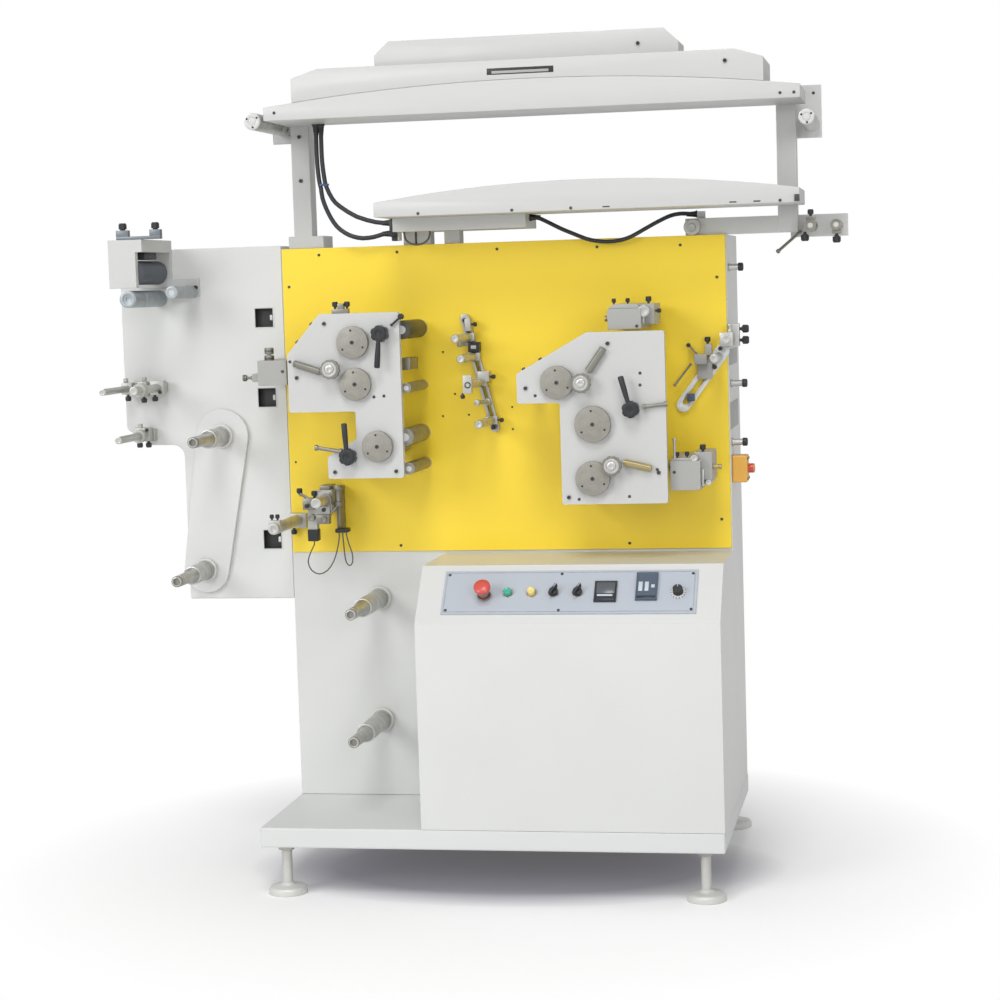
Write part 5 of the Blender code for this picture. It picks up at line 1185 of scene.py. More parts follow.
# Console
@dataclass
class Console:
    """Control console with its sloping control plate and every control on it."""

    middle: Spot = (0.195, -0.314, 0.715)
    slope_angle: float = 47.447
    plate_width: float = 0.594
    plate_height: float = 0.122
    plate_thickness: float = 0.003
    plate_centre: Flat = (0.001, 0.003)
    groove: tuple[Flat, ...] = ((0.0045, 0.0), (0.0004, -0.0014), (0.0018, 0.0), (0.0004, 0.0014))
    stop: Flat = (-0.197, -0.006)
    start: Flat = (-0.142, 0.0)
    reset: Flat = (-0.086, 0.0)
    selectors: dict[str, Flat] = field(default_factory=lambda: {"selector_left": (-0.034, 0.0),
        "selector_right": (0.022, 0.0)})
    knob: Flat = (0.255, 0.0)
    stem_depth: float = 0.01
    pointer_tilt: float = 30.0

    def slope(self) -> Matrix:
        """Return the matrix that takes a place on the slope to its place in the scene."""
        turn = Euler((math.radians(self.slope_angle), 0.0, 0.0)).to_matrix().to_4x4()
        return Matrix.Translation(spot(*self.middle)) @ turn

    def lay(self, piece: Piece, body: str = MACHINE) -> Piece:
        """Lay a piece that was modelled in the slope's own coordinates on the slope."""
        piece.data.transform(self.slope())
        return report(piece, body)

    def on_slope(self, name: str, finish: Look, steps: Sequence[Step], place: Flat, foot: float,
            body: str = MACHINE, sides: int = 40, edge: float = 0.0006) -> Piece:
        """Model a turned piece that stands on the slope at a place."""
        piece = turned(name, finish, steps, sides, edge, foot)
        piece.data.transform(Matrix.Translation((*place, 0.0)))
        return self.lay(piece, body)

    def build(self) -> None:
        """Dress the cabinet and make the plate and the controls."""
        soften("console_cabinet", 0.002, 40.0)
        self.build_plate()
        self.build_bezels()
        self.build_stop()
        self.build_buttons()
        for name, place in self.selectors.items():
            self.build_selector(name, place)
        self.build_speed_knob()
        self.build_controllers()

    def build_plate(self) -> None:
        """Make the control plate with its groove, the bores of the controls and its screws."""
        u, v = self.plate_centre
        half_u, half_v = self.plate_width / 2, self.plate_height / 2
        top = 0.0003 + self.plate_thickness
        plate = local_block("control_plate_face", CONTROL, (u - half_u, v - half_v, 0.0003),
            (u + half_u, v + half_v, top), 0.0)
        with shaping(plate, lambda face: face.normal.z > 0.9):
            for thickness, depth in self.groove:
                bpy.ops.mesh.inset(thickness=thickness, depth=depth)
        bores = [(self.stop, 0.0125), (self.start, 0.0095), (self.reset, 0.0095), (self.knob, 0.005)]
        bores += [(place, 0.006) for place in self.selectors.values()]
        for place, radius in bores:
            drill(plate, radius, (*place, 0.0), 32, 0.02)
        ease_edges(plate, 0.0)
        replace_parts(self.lay(plate), "control_plate")
        places = [(u + du, v + dv) for du in (-half_u + 0.011, half_u - 0.011) for dv in (-0.05, 0.05)]
        places += [(u - 0.02, v + 0.051), (u - 0.02, v - 0.051)]
        screws = stamped("control_plate_screws", HARDWARE.templates[Fitting.PAN_SCREW],
            [Vector((*place, top - 0.0004)) for place in places], Matrix())
        self.lay(screws)

    def build_bezels(self) -> None:
        """Make the collar of the emergency stop and the bezels of buttons and selectors."""
        self.ring("stop_collar", DULL, self.stop, 0.017, 0.0132, 0.008, "steel")
        for name, place in (("start_bezel", self.start), ("reset_bezel", self.reset)):
            self.ring(name, ZINC, place, 0.0135, 0.0105, 0.005, "steel")
        for name, place in self.selectors.items():
            self.ring(name + "_bezel", ZINC, place, 0.0135, 0.007, 0.005, "steel")

    def ring(self, name: str, finish: Look, place: Flat, radius: float, bore: float, height: float,
            slot: str) -> None:
        """Make one raised ring round a control, its bore left open."""
        foot = 0.0003 + self.plate_thickness - SIT
        ring = turned(name, finish, (Step(radius, (height - foot) * 0.5),
            Step(radius - 0.0012, (height - foot) * 0.5)), 40, 0.0, foot)
        drill(ring, bore, (0.0, 0.0, 0.0), 40, 0.04)
        ease_edges(ring, 0.0004)
        ring.data.transform(Matrix.Translation((*place, 0.0)))
        self.lay(ring)

    def build_stop(self) -> None:
        """Make the emergency stop's red mushroom head on its stem."""
        head = 0.031
        steps = (Step(0.0118, self.stem_depth + head), Step(0.0175, 0.0005), Step(0.0175, 0.002, 0.0195),
            Step(0.0195, 0.0075), Step(0.0195, 0.0028, 0.015), Step(0.015, 0.0012, 0.006))
        stop = self.on_slope("emergency_stop_head", RED, steps, self.stop, -self.stem_depth,
            "emergency_stop_body", 48, 0.0006)
        self.on_slope("emergency_stop_neck", DULL, (Step(0.0128, head - 0.0145), Step(0.0122, 0.003)), self.stop,
            0.0125, "emergency_stop_body")
        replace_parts(stop, "emergency_stop")

    def build_buttons(self) -> None:
        """Make the green and the amber push button."""
        steps = (Step(0.009, self.stem_depth + 0.016), Step(0.009, 0.001, 0.008), Step(0.0068, -0.0006))
        for name, finish, place, slot in (("start_button", GREEN, self.start, "green_plastic"),
                ("reset_button", AMBER, self.reset, "amber_plastic")):
            cap = self.on_slope(name + "_cap", finish, steps, place, -self.stem_depth, name + "_body")
            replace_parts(cap, name)

    def build_selector(self, name: str, place: Flat) -> None:
        """Make one selector: round body and a tall grip with a white pointer line."""
        top = 0.0153
        body = turned(name + "_round", BLACK, (Step(0.0055, self.stem_depth + 0.0053), Step(0.0105, 0.0085),
            Step(0.0105, 0.0015, 0.009)), 40, 0.0004, -self.stem_depth)
        grip = local_block(name + "_grip", BLACK, (-0.003, -0.015, top - 0.004), (0.003, 0.015, top + 0.01),
            0.0012, 3)
        tilt = Euler((0.0, 0.0, math.radians(-self.pointer_tilt))).to_matrix().to_4x4()
        line = local_block(name + "_pointer", INDICATOR, (-0.0007, 0.004, top + 0.0095),
            (0.0007, 0.014, top + 0.0102), 0.0)
        for piece, slot in ((joined(name + "_handle", [body, grip]), "black_plastic"), (line, "control_face")):
            piece.data.transform(Matrix.Translation((*place, 0.0)) @ tilt)
            self.lay(piece, name + "_body")
            if slot == "black_plastic":
                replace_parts(piece, name)

    def build_speed_knob(self) -> None:
        """Make the speed knob on its pale dial with plain marks round it."""
        foot = 0.0003 * 2 + self.plate_thickness
        knob = turned("speed_knob_grip", BLACK, (Step(0.0045, self.stem_depth + foot + 0.0008),
            Step(0.013, 0.003), Step(0.0118, 0.013), Step(0.0118, 0.0012, 0.01)), 36, 0.0, -self.stem_depth)
        flute(knob, 0.0112, 36, 3, 0.94)
        knob.data.transform(Matrix.Translation((*self.knob, 0.0)))
        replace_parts(self.lay(ease_edges(knob, 0.0004), "speed_knob_body"), "speed_knob")
        pointer = local_block("speed_pointer", INDICATOR, (-0.0006, 0.004, foot + 0.0176),
            (0.0006, 0.0112, foot + 0.0182), 0.0)
        pointer.data.transform(Matrix.Translation((*self.knob, 0.0)))
        self.lay(pointer, "speed_knob_body")
        dial = turned("speed_dial", TRIM, (Step(0.0175, 0.0028), Step(0.015, 0.0012)), 48, 0.0003, foot - 0.001)
        drill(dial, 0.0055, (0.0, 0.0, 0.0), 32, 0.05).data.transform(Matrix.Translation((*self.knob, 0.0)))
        self.lay(dial)
        marks = []
        for number in range(15):
            mark = local_block("dial_mark", SCREW, (-0.0007, 0.0135, foot - 0.0008),
                (0.0007, 0.0177, foot + 0.0022), 0.0)
            turn = Euler((0.0, 0.0, math.radians(24 * number))).to_matrix().to_4x4()
            mark.data.transform(Matrix.Translation((*self.knob, 0.0)) @ turn)
            marks.append(mark)
        self.lay(joined("speed_dial_marks", marks))

    def build_controllers(self) -> None:
        """Make the temperature controller and the web controller beside it."""
        floor = 0.0003 + self.plate_thickness - SIT
        cases = (("controller_case_1", BLACK, (0.061, -0.027, floor), (0.113, 0.031, 0.008)),
            ("controller_case_2", SLATE, (0.157, -0.023, floor), (0.207, 0.053, 0.01)))
        for name, finish, low, high in cases:
            case = local_block(name, finish, low, high, 0.0)
            with shaping(case, lambda face: face.normal.z > 0.9):
                bpy.ops.mesh.inset(thickness=0.0028)
                bpy.ops.mesh.inset(thickness=0.0007, depth=-0.0012)
            self.lay(ease_edges(case, 0.0006))
        panes = (("controller_window", SCREEN, "black_plastic", (0.0658, -0.0035), (0.1082, 0.0265), 0.0072),
            ("controller_light_bar", INDICATOR, "control_face", (0.068, -0.0115), (0.104, -0.0065), 0.0075),
            ("controller_band", NAVY, "black_plastic", (0.065, -0.0225), (0.109, -0.0145), 0.0075),
            ("web_light_1", INDICATOR, "control_face", (0.163, 0.001), (0.1725, 0.0265), 0.0095),
            ("web_light_2", INDICATOR, "control_face", (0.1775, 0.001), (0.1865, 0.0265), 0.0095),
            ("web_light_3", INDICATOR, "control_face", (0.1925, 0.01), (0.2005, 0.0185), 0.0095),
            ("web_band", NAVY, "black_plastic", (0.1605, -0.0195), (0.2035, -0.0125), 0.0095))
        for name, finish, slot, low, high, face in panes:
            self.lay(local_block(name, finish, (*low, face - 0.0015), (*high, face), 0.0003))


# Print units
@dataclass
class PrintUnit:
    """One print unit: what turns in its plate, what is screwed on it, and its ink units."""

    name: str
    plate: str
    cylinders: dict[str, Spot]
    ink_rollers: dict[str, Flat]
    levers: dict[str, Spot]
    ties: tuple[Flat, ...]
    screws: tuple[Flat, ...]
    idlers: tuple[Spot, ...] = ()
    front: float = 0.215
    thickness: float = 0.02
    journal: float = 0.009
    cylinder_radius: float = 0.036
    disc: float = 0.016
    run: float = 0.005
    back: float = 0.0066

    def build(self) -> None:
        """Dress the plate and make everything on it."""
        soften(self.plate, 0.0014, 60.0)
        for name, (x, z, radius) in self.cylinders.items():
            self.build_cylinder(name, x, z, radius)
        for name, (x, z) in self.ink_rollers.items():
            self.build_ink_roller(name, x, z)
        for name, (x, z, lean) in self.levers.items():
            self.build_lever(name, x, z, lean)
        for number, (x, z) in enumerate(self.ties, 1):
            sleeve("%s_tie_sleeve_%d" % (self.name, number), STEEL.material(spot(x, 0.0, z)), (x, z), self.back,
                self.front - self.thickness, 0.0113)
        for number, (x, z, radius) in enumerate(self.idlers, 1):
            finish = DARK if number == 1 else DULL.material(spot(x, 0.0, z))
            sleeve("%s_idler_sleeve_%d" % (self.name, number), finish, (x, z), self.back + 0.01,
                self.front - self.thickness + 0.0045, radius + 0.0003)
        fasten(self.name + "_tie_bolts", Fitting.CAP_SCREW, [(x, -self.front - SIT / 2, z) for x, z in self.ties])
        fasten(self.name + "_plate_screws", Fitting.PAN_SCREW,
            [(x, -self.front - SIT / 2, z) for x, z in self.screws])

    def build_cylinder(self, name: str, x: float, z: float, radius: float) -> None:
        """Make one cylinder: body behind the plate and ground disc before it.

        Args:
            name: Name of its CAD node.
            x: Its axis.
            z: Its axis.
            radius: Radius of its disc.
        """
        body_end = self.front - self.thickness - self.run
        core = axled(name + "_core", STEEL, (Step(self.journal, self.run - SIT),
            Step(self.cylinder_radius - 0.004, 0.004), Step(self.cylinder_radius,
            body_end - self.back - self.run - 0.008), Step(self.cylinder_radius - 0.004, 0.004),
            Step(self.journal, self.front - body_end + 0.001)), (x, z), 56, 0.0008, foot=self.back)
        disc = axled(name + "_disc", DISC, (Step(radius - 0.001, 0.001), Step(radius, self.disc - 0.002),
            Step(radius, 0.001, radius - 0.001)), (x, z), 72, 0.0003, foot=self.front + 0.0003)
        finished = report(joined(name + "_finished", [disc, core]), name + "_body")
        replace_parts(finished, name)
        # Black discs paint the shade in three holes near each disc's rim.
        dots = [(x + radius * 0.74 * math.cos(turn), -self.front - self.disc - 0.0003,
            z + radius * 0.74 * math.sin(turn)) for turn in (math.radians(95), math.radians(215),
            math.radians(335))]
        fasten(name + "_dots", Fitting.HOLE_SHADE, dots, body=name + "_body")
        fasten(name + "_bolt", Fitting.CAP_SCREW, [(x, -self.front - self.disc + 0.0012, z)], body=name + "_body")

    def build_ink_roller(self, name: str, x: float, z: float) -> None:
        """Make one engraved ink roller with its adjusting hub before the plate."""
        axis = spot(x, 0.0, z)
        body_end = self.front - self.thickness - self.run
        hub = self.front + 0.0003 + self.disc + self.run
        core = axled(name + "_core", STEEL, (Step(self.journal, self.run - SIT),
            Step(0.0145, body_end - self.back - self.run), Step(self.journal, hub - body_end + 0.001)), (x, z),
            40, 0.0008, foot=self.back)
        rim = turned("rim", DULL, (Step(0.022, 0.001), Step(0.0235, 0.012), Step(0.0235, 0.001, 0.022)), 48, 0.0,
            foot=hub)
        flute(rim, 0.0225, 48, 4, 0.95)
        put(ease_edges(rim, 0.0004), axis, Facing.OPERATOR.matrix())
        cap = axled(name + "_hub", STEEL, (Step(0.0185, 0.002), Step(0.0185, 0.002, 0.0165), Step(0.012, -0.0012),
            Step(0.0105, 0.003), Step(0.0105, 0.0012, 0.007), Step(0.0042, -0.0012)), (x, z), 48, 0.0004,
            foot=hub + 0.0138)
        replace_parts(report(joined(name + "_finished", [cap, rim, core]), name + "_body"), name)

    def build_lever(self, name: str, x: float, z: float, lean: float) -> None:
        """Make one clamp lever: lobed hub and tapered handle that leans at an angle."""
        start = self.front + 0.0003
        hub = turned(name + "_hub", BLACK, (Step(0.006, self.thickness - 0.001), Step(0.012, 0.004),
            Step(0.02, 0.027), Step(0.02, 0.003, 0.016), Step(0.008, -0.002)), 36, 0.0,
            foot=start - self.thickness + 0.0007)
        flute(hub, 0.0185, 36, 6, 0.9)
        flute(hub, 0.0185, 36, 6, 0.97)
        put(ease_edges(hub, 0.001), spot(x, 0.0, z), Facing.OPERATOR.matrix())
        handle = turned(name + "_stem", BLACK, (Step(0.0052, 0.018), Step(0.0052, 0.03, 0.0066),
            Step(0.0066, 0.03, 0.007), Step(0.007, 0.003, 0.0052)), 24, 0.0008)
        turn = Euler((0.0, math.pi / 2 - math.radians(lean), 0.0)).to_matrix().to_4x4()
        put(handle, spot(x, -start - 0.028, z), turn)
        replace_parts(report(joined(name + "_finished", [hub, handle]), name + "_body"), name)


@dataclass
class InkUnits:
    """The three ink units with their blade clamps, screws and knobs."""

    front: float = -0.19
    knobs_up: tuple[Spot, ...] = ((0.378, -0.15, 1.377), (0.497, -0.145, 1.027))
    small_knobs_up: tuple[Spot, ...] = ((0.3, -0.178, 1.3775), (0.33, -0.16, 1.3775), (0.44, -0.178, 1.016),
        (0.462, -0.17, 1.016))
    screws_front: tuple[Flat, ...] = ((-0.504, 1.24), (0.354, 1.326), (0.4335, 0.983))

    def build(self) -> None:
        """Dress the housings and add what stands on them."""
        for node in ("left_ink_unit", "upper_ink_unit", "lower_ink_unit"):
            soften(node, 0.0015, 60.0)
        top = outlined("upper_ink_cover", GREY, ((0.286, 1.3671), (0.363, 1.3671), (0.354, 1.3778),
            (0.298, 1.3778)), -0.186, -0.012, 0.001)
        report(top)
        low = outlined("lower_ink_cover", GREY, ((0.425, 1.0091), (0.478, 1.0091), (0.468, 1.016), (0.43, 1.016)),
            -0.186, -0.012, 0.001)
        report(low)
        Kit("ink_bearings", STEEL, "steel", (((0.364, -0.178, 1.33), (0.3705, -0.06, 1.366)),
            ((0.4945, -0.176, 0.948), (0.501, -0.06, 0.988))),
            (((-0.541, -0.17, 1.267), (-0.541, -0.17, 1.291), 0.0045),
            ((0.434, -0.18, 1.009), (0.434, -0.18, 1.062), 0.0032)),
            ((0.37, 1.36, 0.0135, 0.05, 0.186), (0.48, 1.014, 0.0085, 0.05, 0.186),
            (0.511, 0.956, 0.0065, 0.04, 0.172))).build()
        Kit("ink_fine_screws", BRASS, "steel", (), (((0.5185, -0.14, 0.991), (0.54, -0.14, 0.991), 0.0042),
            ((0.286, -0.175, 1.345), (0.277, -0.175, 1.345), 0.0046))).build()
        Kit("left_ink_pin", DULL, "steel", (), (((-0.612, -0.15, 1.225), (-0.5898, -0.15, 1.225), 0.0034),
            ((-0.613, -0.15, 1.225), (-0.607, -0.15, 1.225), 0.0052),
            ((-0.541, -0.17, 1.2672), (-0.541, -0.17, 1.276), 0.008),
            ((-0.541, -0.17, 1.286), (-0.541, -0.17, 1.293), 0.0075))).build()
        fasten("ink_unit_knobs", Fitting.KNOB, self.knobs_up, Facing.UP)
        fasten("ink_unit_small_knobs", Fitting.SMALL_KNOB, self.small_knobs_up, Facing.UP)
        fasten("ink_unit_screws", Fitting.PAN_SCREW, [(x, self.front, z) for x, z in self.screws_front])
        fasten("ink_side_knob", Fitting.SMALL_KNOB, [(0.392, -0.14, 1.36)], Facing.RIGHT)


@dataclass
class UnitTrim:
    """Adjusting screws, push rods, edge screws and brackets on the two unit plates."""

    face: float = -0.2152

    def build(self) -> None:
        """Make the trim of both units."""
        # Partly real, partly painted: knurled adjusting screws whose olive and brass tones paint the yellow panel
        # in shade, seen through the plates' slots.
        self.build_adjuster("left_adjuster", (-0.3985, 1.2375), (-0.466, 1.26), DULL)
        self.build_adjuster("right_adjuster", (0.24, 1.223), (0.279, 1.278), DULL)
        self.build_adjuster("lower_adjuster", (0.319, 1.011), (0.385, 0.995), BRASS)
        Kit("left_top_rod", BLACK, "black_plastic", (), (((-0.226, -0.222, 1.343), (-0.196, -0.222, 1.368),
            0.0026),)).build()
        fasten("left_top_rod_knob", Fitting.KNOB, [(-0.2, -0.2155, 1.364)])
        Kit("unit_push_rods", DULL, "steel", (), (((-0.422, -0.222, 1.058), (-0.356, -0.222, 1.047), 0.0048),
            ((0.368, -0.222, 1.139), (0.424, -0.222, 1.145), 0.0042))).build()
        Kit("left_top_bracket", DULL, "steel", (((-0.371, -0.214, 1.3752), (-0.331, -0.196, 1.386)),
            ((-0.357, -0.213, 1.3855), (-0.342, -0.197, 1.399)),
            ((-0.2225, -0.15, 1.235), (-0.199, -0.06, 1.264)))).build()
        fasten("left_top_knobs", Fitting.KNOB, [(-0.364, -0.205, 1.386), (-0.335, -0.205, 1.386)], Facing.UP)
        self.build_edge_screws("left_edge_screws", (-0.484, 1.28), (-0.402, 1.375), (0.3, 0.74))
        self.build_edge_screws("right_edge_screws", (0.07, 1.222), (0.238, 1.315), (0.1, 0.34))

    def build_adjuster(self, name: str, start: Flat, end: Flat, finish: Finish) -> None:
        """Make one knurled adjusting screw that lies along the plate's face, with the screw at its end."""
        depth = self.face - 0.0092
        line = Vector((end[0] - start[0], 0.0, end[1] - start[1]))
        barrel = turned(name, finish, (Step(0.006, 0.004), Step(0.009, line.length - 0.014), Step(0.0074, 0.004),
            Step(0.009, 0.004), Step(0.009, 0.002, 0.0065)), 30, 0.0)
        flute(barrel, 0.0085, 30, 2, 0.94)
        turn = along(line)
        report(put(ease_edges(barrel, 0.0), spot(start[0], depth, start[1]), turn))
        tail = Vector((end[0], 0.0, end[1])) + line.normalized() * 0.012
        fasten(name + "_screw", Fitting.PAN_SCREW, [(tail.x, self.face, tail.z)])

    def build_edge_screws(self, name: str, low: Flat, high: Flat, shares: tuple[float, ...]) -> None:
        """Set small screws that stand on a plate's slanted edge."""
        edge = Vector((high[0] - low[0], 0.0, high[1] - low[1]))
        outward = Vector((-edge.z, 0.0, edge.x)).normalized()
        places = [spot(low[0], -0.205, low[1]) + edge * share for share in shares]
        screws = stamped(name, HARDWARE.templates[Fitting.CAP_SCREW], places, along(outward))
        report(screws)


# Guides on the yellow panel
@dataclass
class PanelGuides:
    """Lower left roller, sensor cluster, centre guide bar and slotted arm."""

    near: float = 0.0066
    bar_top: Flat = (-0.089, 1.353)
    bar_foot: Flat = (-0.022, 1.085)
    bar_shares: tuple[float, ...] = (0.17, 0.35, 0.58, 0.93)

    def build(self) -> None:
        """Make every guide's finished parts."""
        self.build_lower_roller()
        self.build_cluster()
        self.build_centre_bar()
        self.build_slotted_arm()

    def build_lower_roller(self) -> None:
        """Make the roller at the panel's lower left corner, with its foot and knobs."""
        x, z = -0.525, 0.866
        roller = axled("lower_left_roller_finished", STEEL, (Step(0.014, 0.03), Step(0.0125, 0.003),
            Step(0.014, 0.196), Step(0.0105, 0.004), Step(0.0135, 0.0098), Step(0.006, -0.0015)), (x, z), 40,
            0.0008, foot=self.near)
        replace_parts(report(roller), "lower_left_roller")
        Kit("lower_left_roller_clamps", PLATED, "steel", (((-0.547, -0.034, 0.846), (-0.503, -self.near, 0.882)),
            ((-0.54, -0.238, 0.869), (-0.512, -0.222, 0.886)))).build()
        fasten("lower_left_roller_knobs", Fitting.SMALL_KNOB, [(-0.533, -0.23, 0.886), (-0.519, -0.23, 0.886)],
            Facing.UP)
        fasten("lower_left_foot_knob", Fitting.KNOB, [(-0.538, -0.02, 0.846)], Facing.DOWN)

    def build_cluster(self) -> None:
        """Dress the sensor cluster beside the left unit."""
        soften("sensor_cluster", 0.0012, 60.0)
        sleeve("cluster_roller_sleeve", STEEL.material(spot(-0.431, 0.0, 0.922)), (-0.431, 0.922), 0.0955, 0.2003,
            0.0123)
        Kit("web_sensor", BLACK, "black_plastic", (((-0.478, -0.114, 0.821), (-0.4525, -0.086, 0.85)),
            ((-0.419, -0.075, 0.837), (-0.388, -0.04, 0.847))), edge=0.0018).build()
        Kit("cluster_clamps", DULL, "steel", (((-0.484, -0.128, 0.9), (-0.457, -0.1015, 0.928)),
            ((-0.452, -0.124, 0.864), (-0.42, -0.1015, 0.887)),
            ((-0.4168, -0.06, 0.836), (-0.408, -0.0075, 0.95)), ((-0.45, -0.09, 0.9448), (-0.425, -0.03, 0.955))),
            (((-0.493, -0.115, 0.938), (-0.462, -0.115, 0.922), 0.0034),
            ((-0.404, -0.09, 0.905), (-0.404, -0.09, 0.956), 0.0075),
            ((-0.432, -0.113, 0.872), (-0.404, -0.09, 0.91), 0.0034)),
            ((-0.431, 0.922, 0.0165, 0.104, 0.116), (-0.466, 0.88, 0.0085, 0.11, 0.122),
            (-0.433, 0.876, 0.008, 0.124, 0.132))).build()
        fasten("cluster_knobs", Fitting.KNOB, [(-0.494, -0.115, 0.935), (-0.458, -0.112, 0.928)], Facing.UP)
        fasten("cluster_front_knobs", Fitting.SMALL_KNOB, [(-0.43, -0.124, 0.9), (-0.471, -0.128, 0.91)])

    def along_bar(self, share: float) -> Flat:
        """Return the place in x and z at a share of the slanted bar's length."""
        return tuple(Vector(self.bar_top).lerp(Vector(self.bar_foot), share))

    def build_centre_bar(self) -> None:
        """Make the slanted bar with its long slot, its clamps and its guide rollers."""
        front, back = -0.0186, -self.near
        bar = outlined("centre_bar_rails", PLATED, capsule(self.bar_top, self.bar_foot, 0.022), front, back)
        slot = capsule(self.along_bar(0.09), self.along_bar(0.97), 0.008)
        parts = [carve(bar, outlined("slot_tool", PLATED, slot, front - 0.01, back + 0.01, 0.0))]
        for share in self.bar_shares:
            x, z = self.along_bar(share)
            parts.append(block("clamp", PLATED, (x - 0.015, -0.04, z - 0.0095),
                (x + 0.015, front - SIT, z + 0.0095)))
            parts.append(axled("roller", STEEL, (Step(0.007, 0.004), Step(0.01, 0.104), Step(0.0086, 0.003),
                Step(0.01, 0.047), Step(0.01, 0.0022, 0.008), Step(0.0045, -0.002)), (x, z), 40, 0.0004,
                foot=0.0398))
        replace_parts(report(joined("centre_bar_finished", parts)), "centre_guide_bar")
        Kit("centre_bar_plates", PLATED, "steel", (((-0.055, -0.052, 1.199), (-0.027, front, 1.224)),
            ((-0.062, -0.2, 1.178), (-0.041, -0.188, 1.221)), ((-0.071, -0.044, 1.2785), (-0.058, -0.042, 1.287)),
            ((-0.084, -0.046, 1.322), (-0.07, front, 1.352))),
            (((-0.098, -0.06, 1.291), (-0.07, -0.028, 1.291), 0.0048),
            ((-0.052, -0.09, 1.15), (-0.034, -0.028, 1.15), 0.005))).build()
        Kit("centre_bar_block", BLACK, "black_plastic", (((-0.078, -0.043, 1.271),
            (-0.05, -0.0187, 1.295)),)).build()
        fasten("centre_bar_side_knobs", Fitting.SMALL_KNOB, [(-0.07, -0.032, 1.338), (-0.027, -0.038, 1.21),
            (-0.0115, -0.03, 1.104)], Facing.RIGHT)
        fasten("centre_bar_foot_knobs", Fitting.SMALL_KNOB, [(-0.024, -0.03, 1.095), (-0.064, -0.194, 1.179)],
            Facing.DOWN)
        fasten("centre_bar_top_knobs", Fitting.SMALL_KNOB, [(-0.088, front, 1.348)])

    def build_slotted_arm(self) -> None:
        """Make the slotted arm with its clamps, plate, knobs and thin rod."""
        front, back = -0.0166, -self.near
        low, high = (0.44, 1.131), (0.536, 1.258)
        arm = outlined("slotted_arm_rails", PALE, capsule(low, high, 0.034), front, back)
        line = Vector(high) - Vector(low)
        slot = capsule(tuple(Vector(low) + line * 0.05), tuple(Vector(low) + line * 0.72), 0.013)
        parts = [carve(arm, outlined("slot_tool", PALE, slot, front - 0.01, back + 0.01, 0.0)),
            axled("stud", STEEL, (Step(0.012, 0.085), Step(0.0105, 0.003), Step(0.012, 0.0134),
            Step(0.012, 0.002, 0.009), Step(0.005, -0.002)), (0.525, 1.243), 40, 0.0004, foot=0.0166)]
        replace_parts(report(joined("slotted_arm_finished", parts)), "slotted_arm")
        Kit("arm_plates", GREY, "steel", (((0.476, front - 0.006, 1.192), (0.512, front - SIT, 1.232)),
            ((0.47, front - 0.02, 1.228), (0.5, front - SIT, 1.252)),
            ((0.496, front - 0.014, 1.25), (0.512, front - SIT, 1.276)))).build()
        Kit("arm_slot_clamp", SLATE, "black_plastic", (((0.45, front - 0.012, 1.14),
            (0.468, front - SIT, 1.158)),)).build()
        fasten("arm_up_knobs", Fitting.KNOB, [(0.502, front - 0.008, 1.276)], Facing.UP)
        fasten("arm_knobs", Fitting.SMALL_KNOB, [(0.456, front, 1.274), (0.532, front, 1.264),
            (0.518, front, 1.22)])
        Kit("arm_thin_rod", DULL, "steel", (), (((0.42, -0.024, 1.177), (0.462, -0.024, 1.23), 0.0026),
            ((0.456, -0.018, 1.2745), (0.48, -0.018, 1.246), 0.0024))).build()


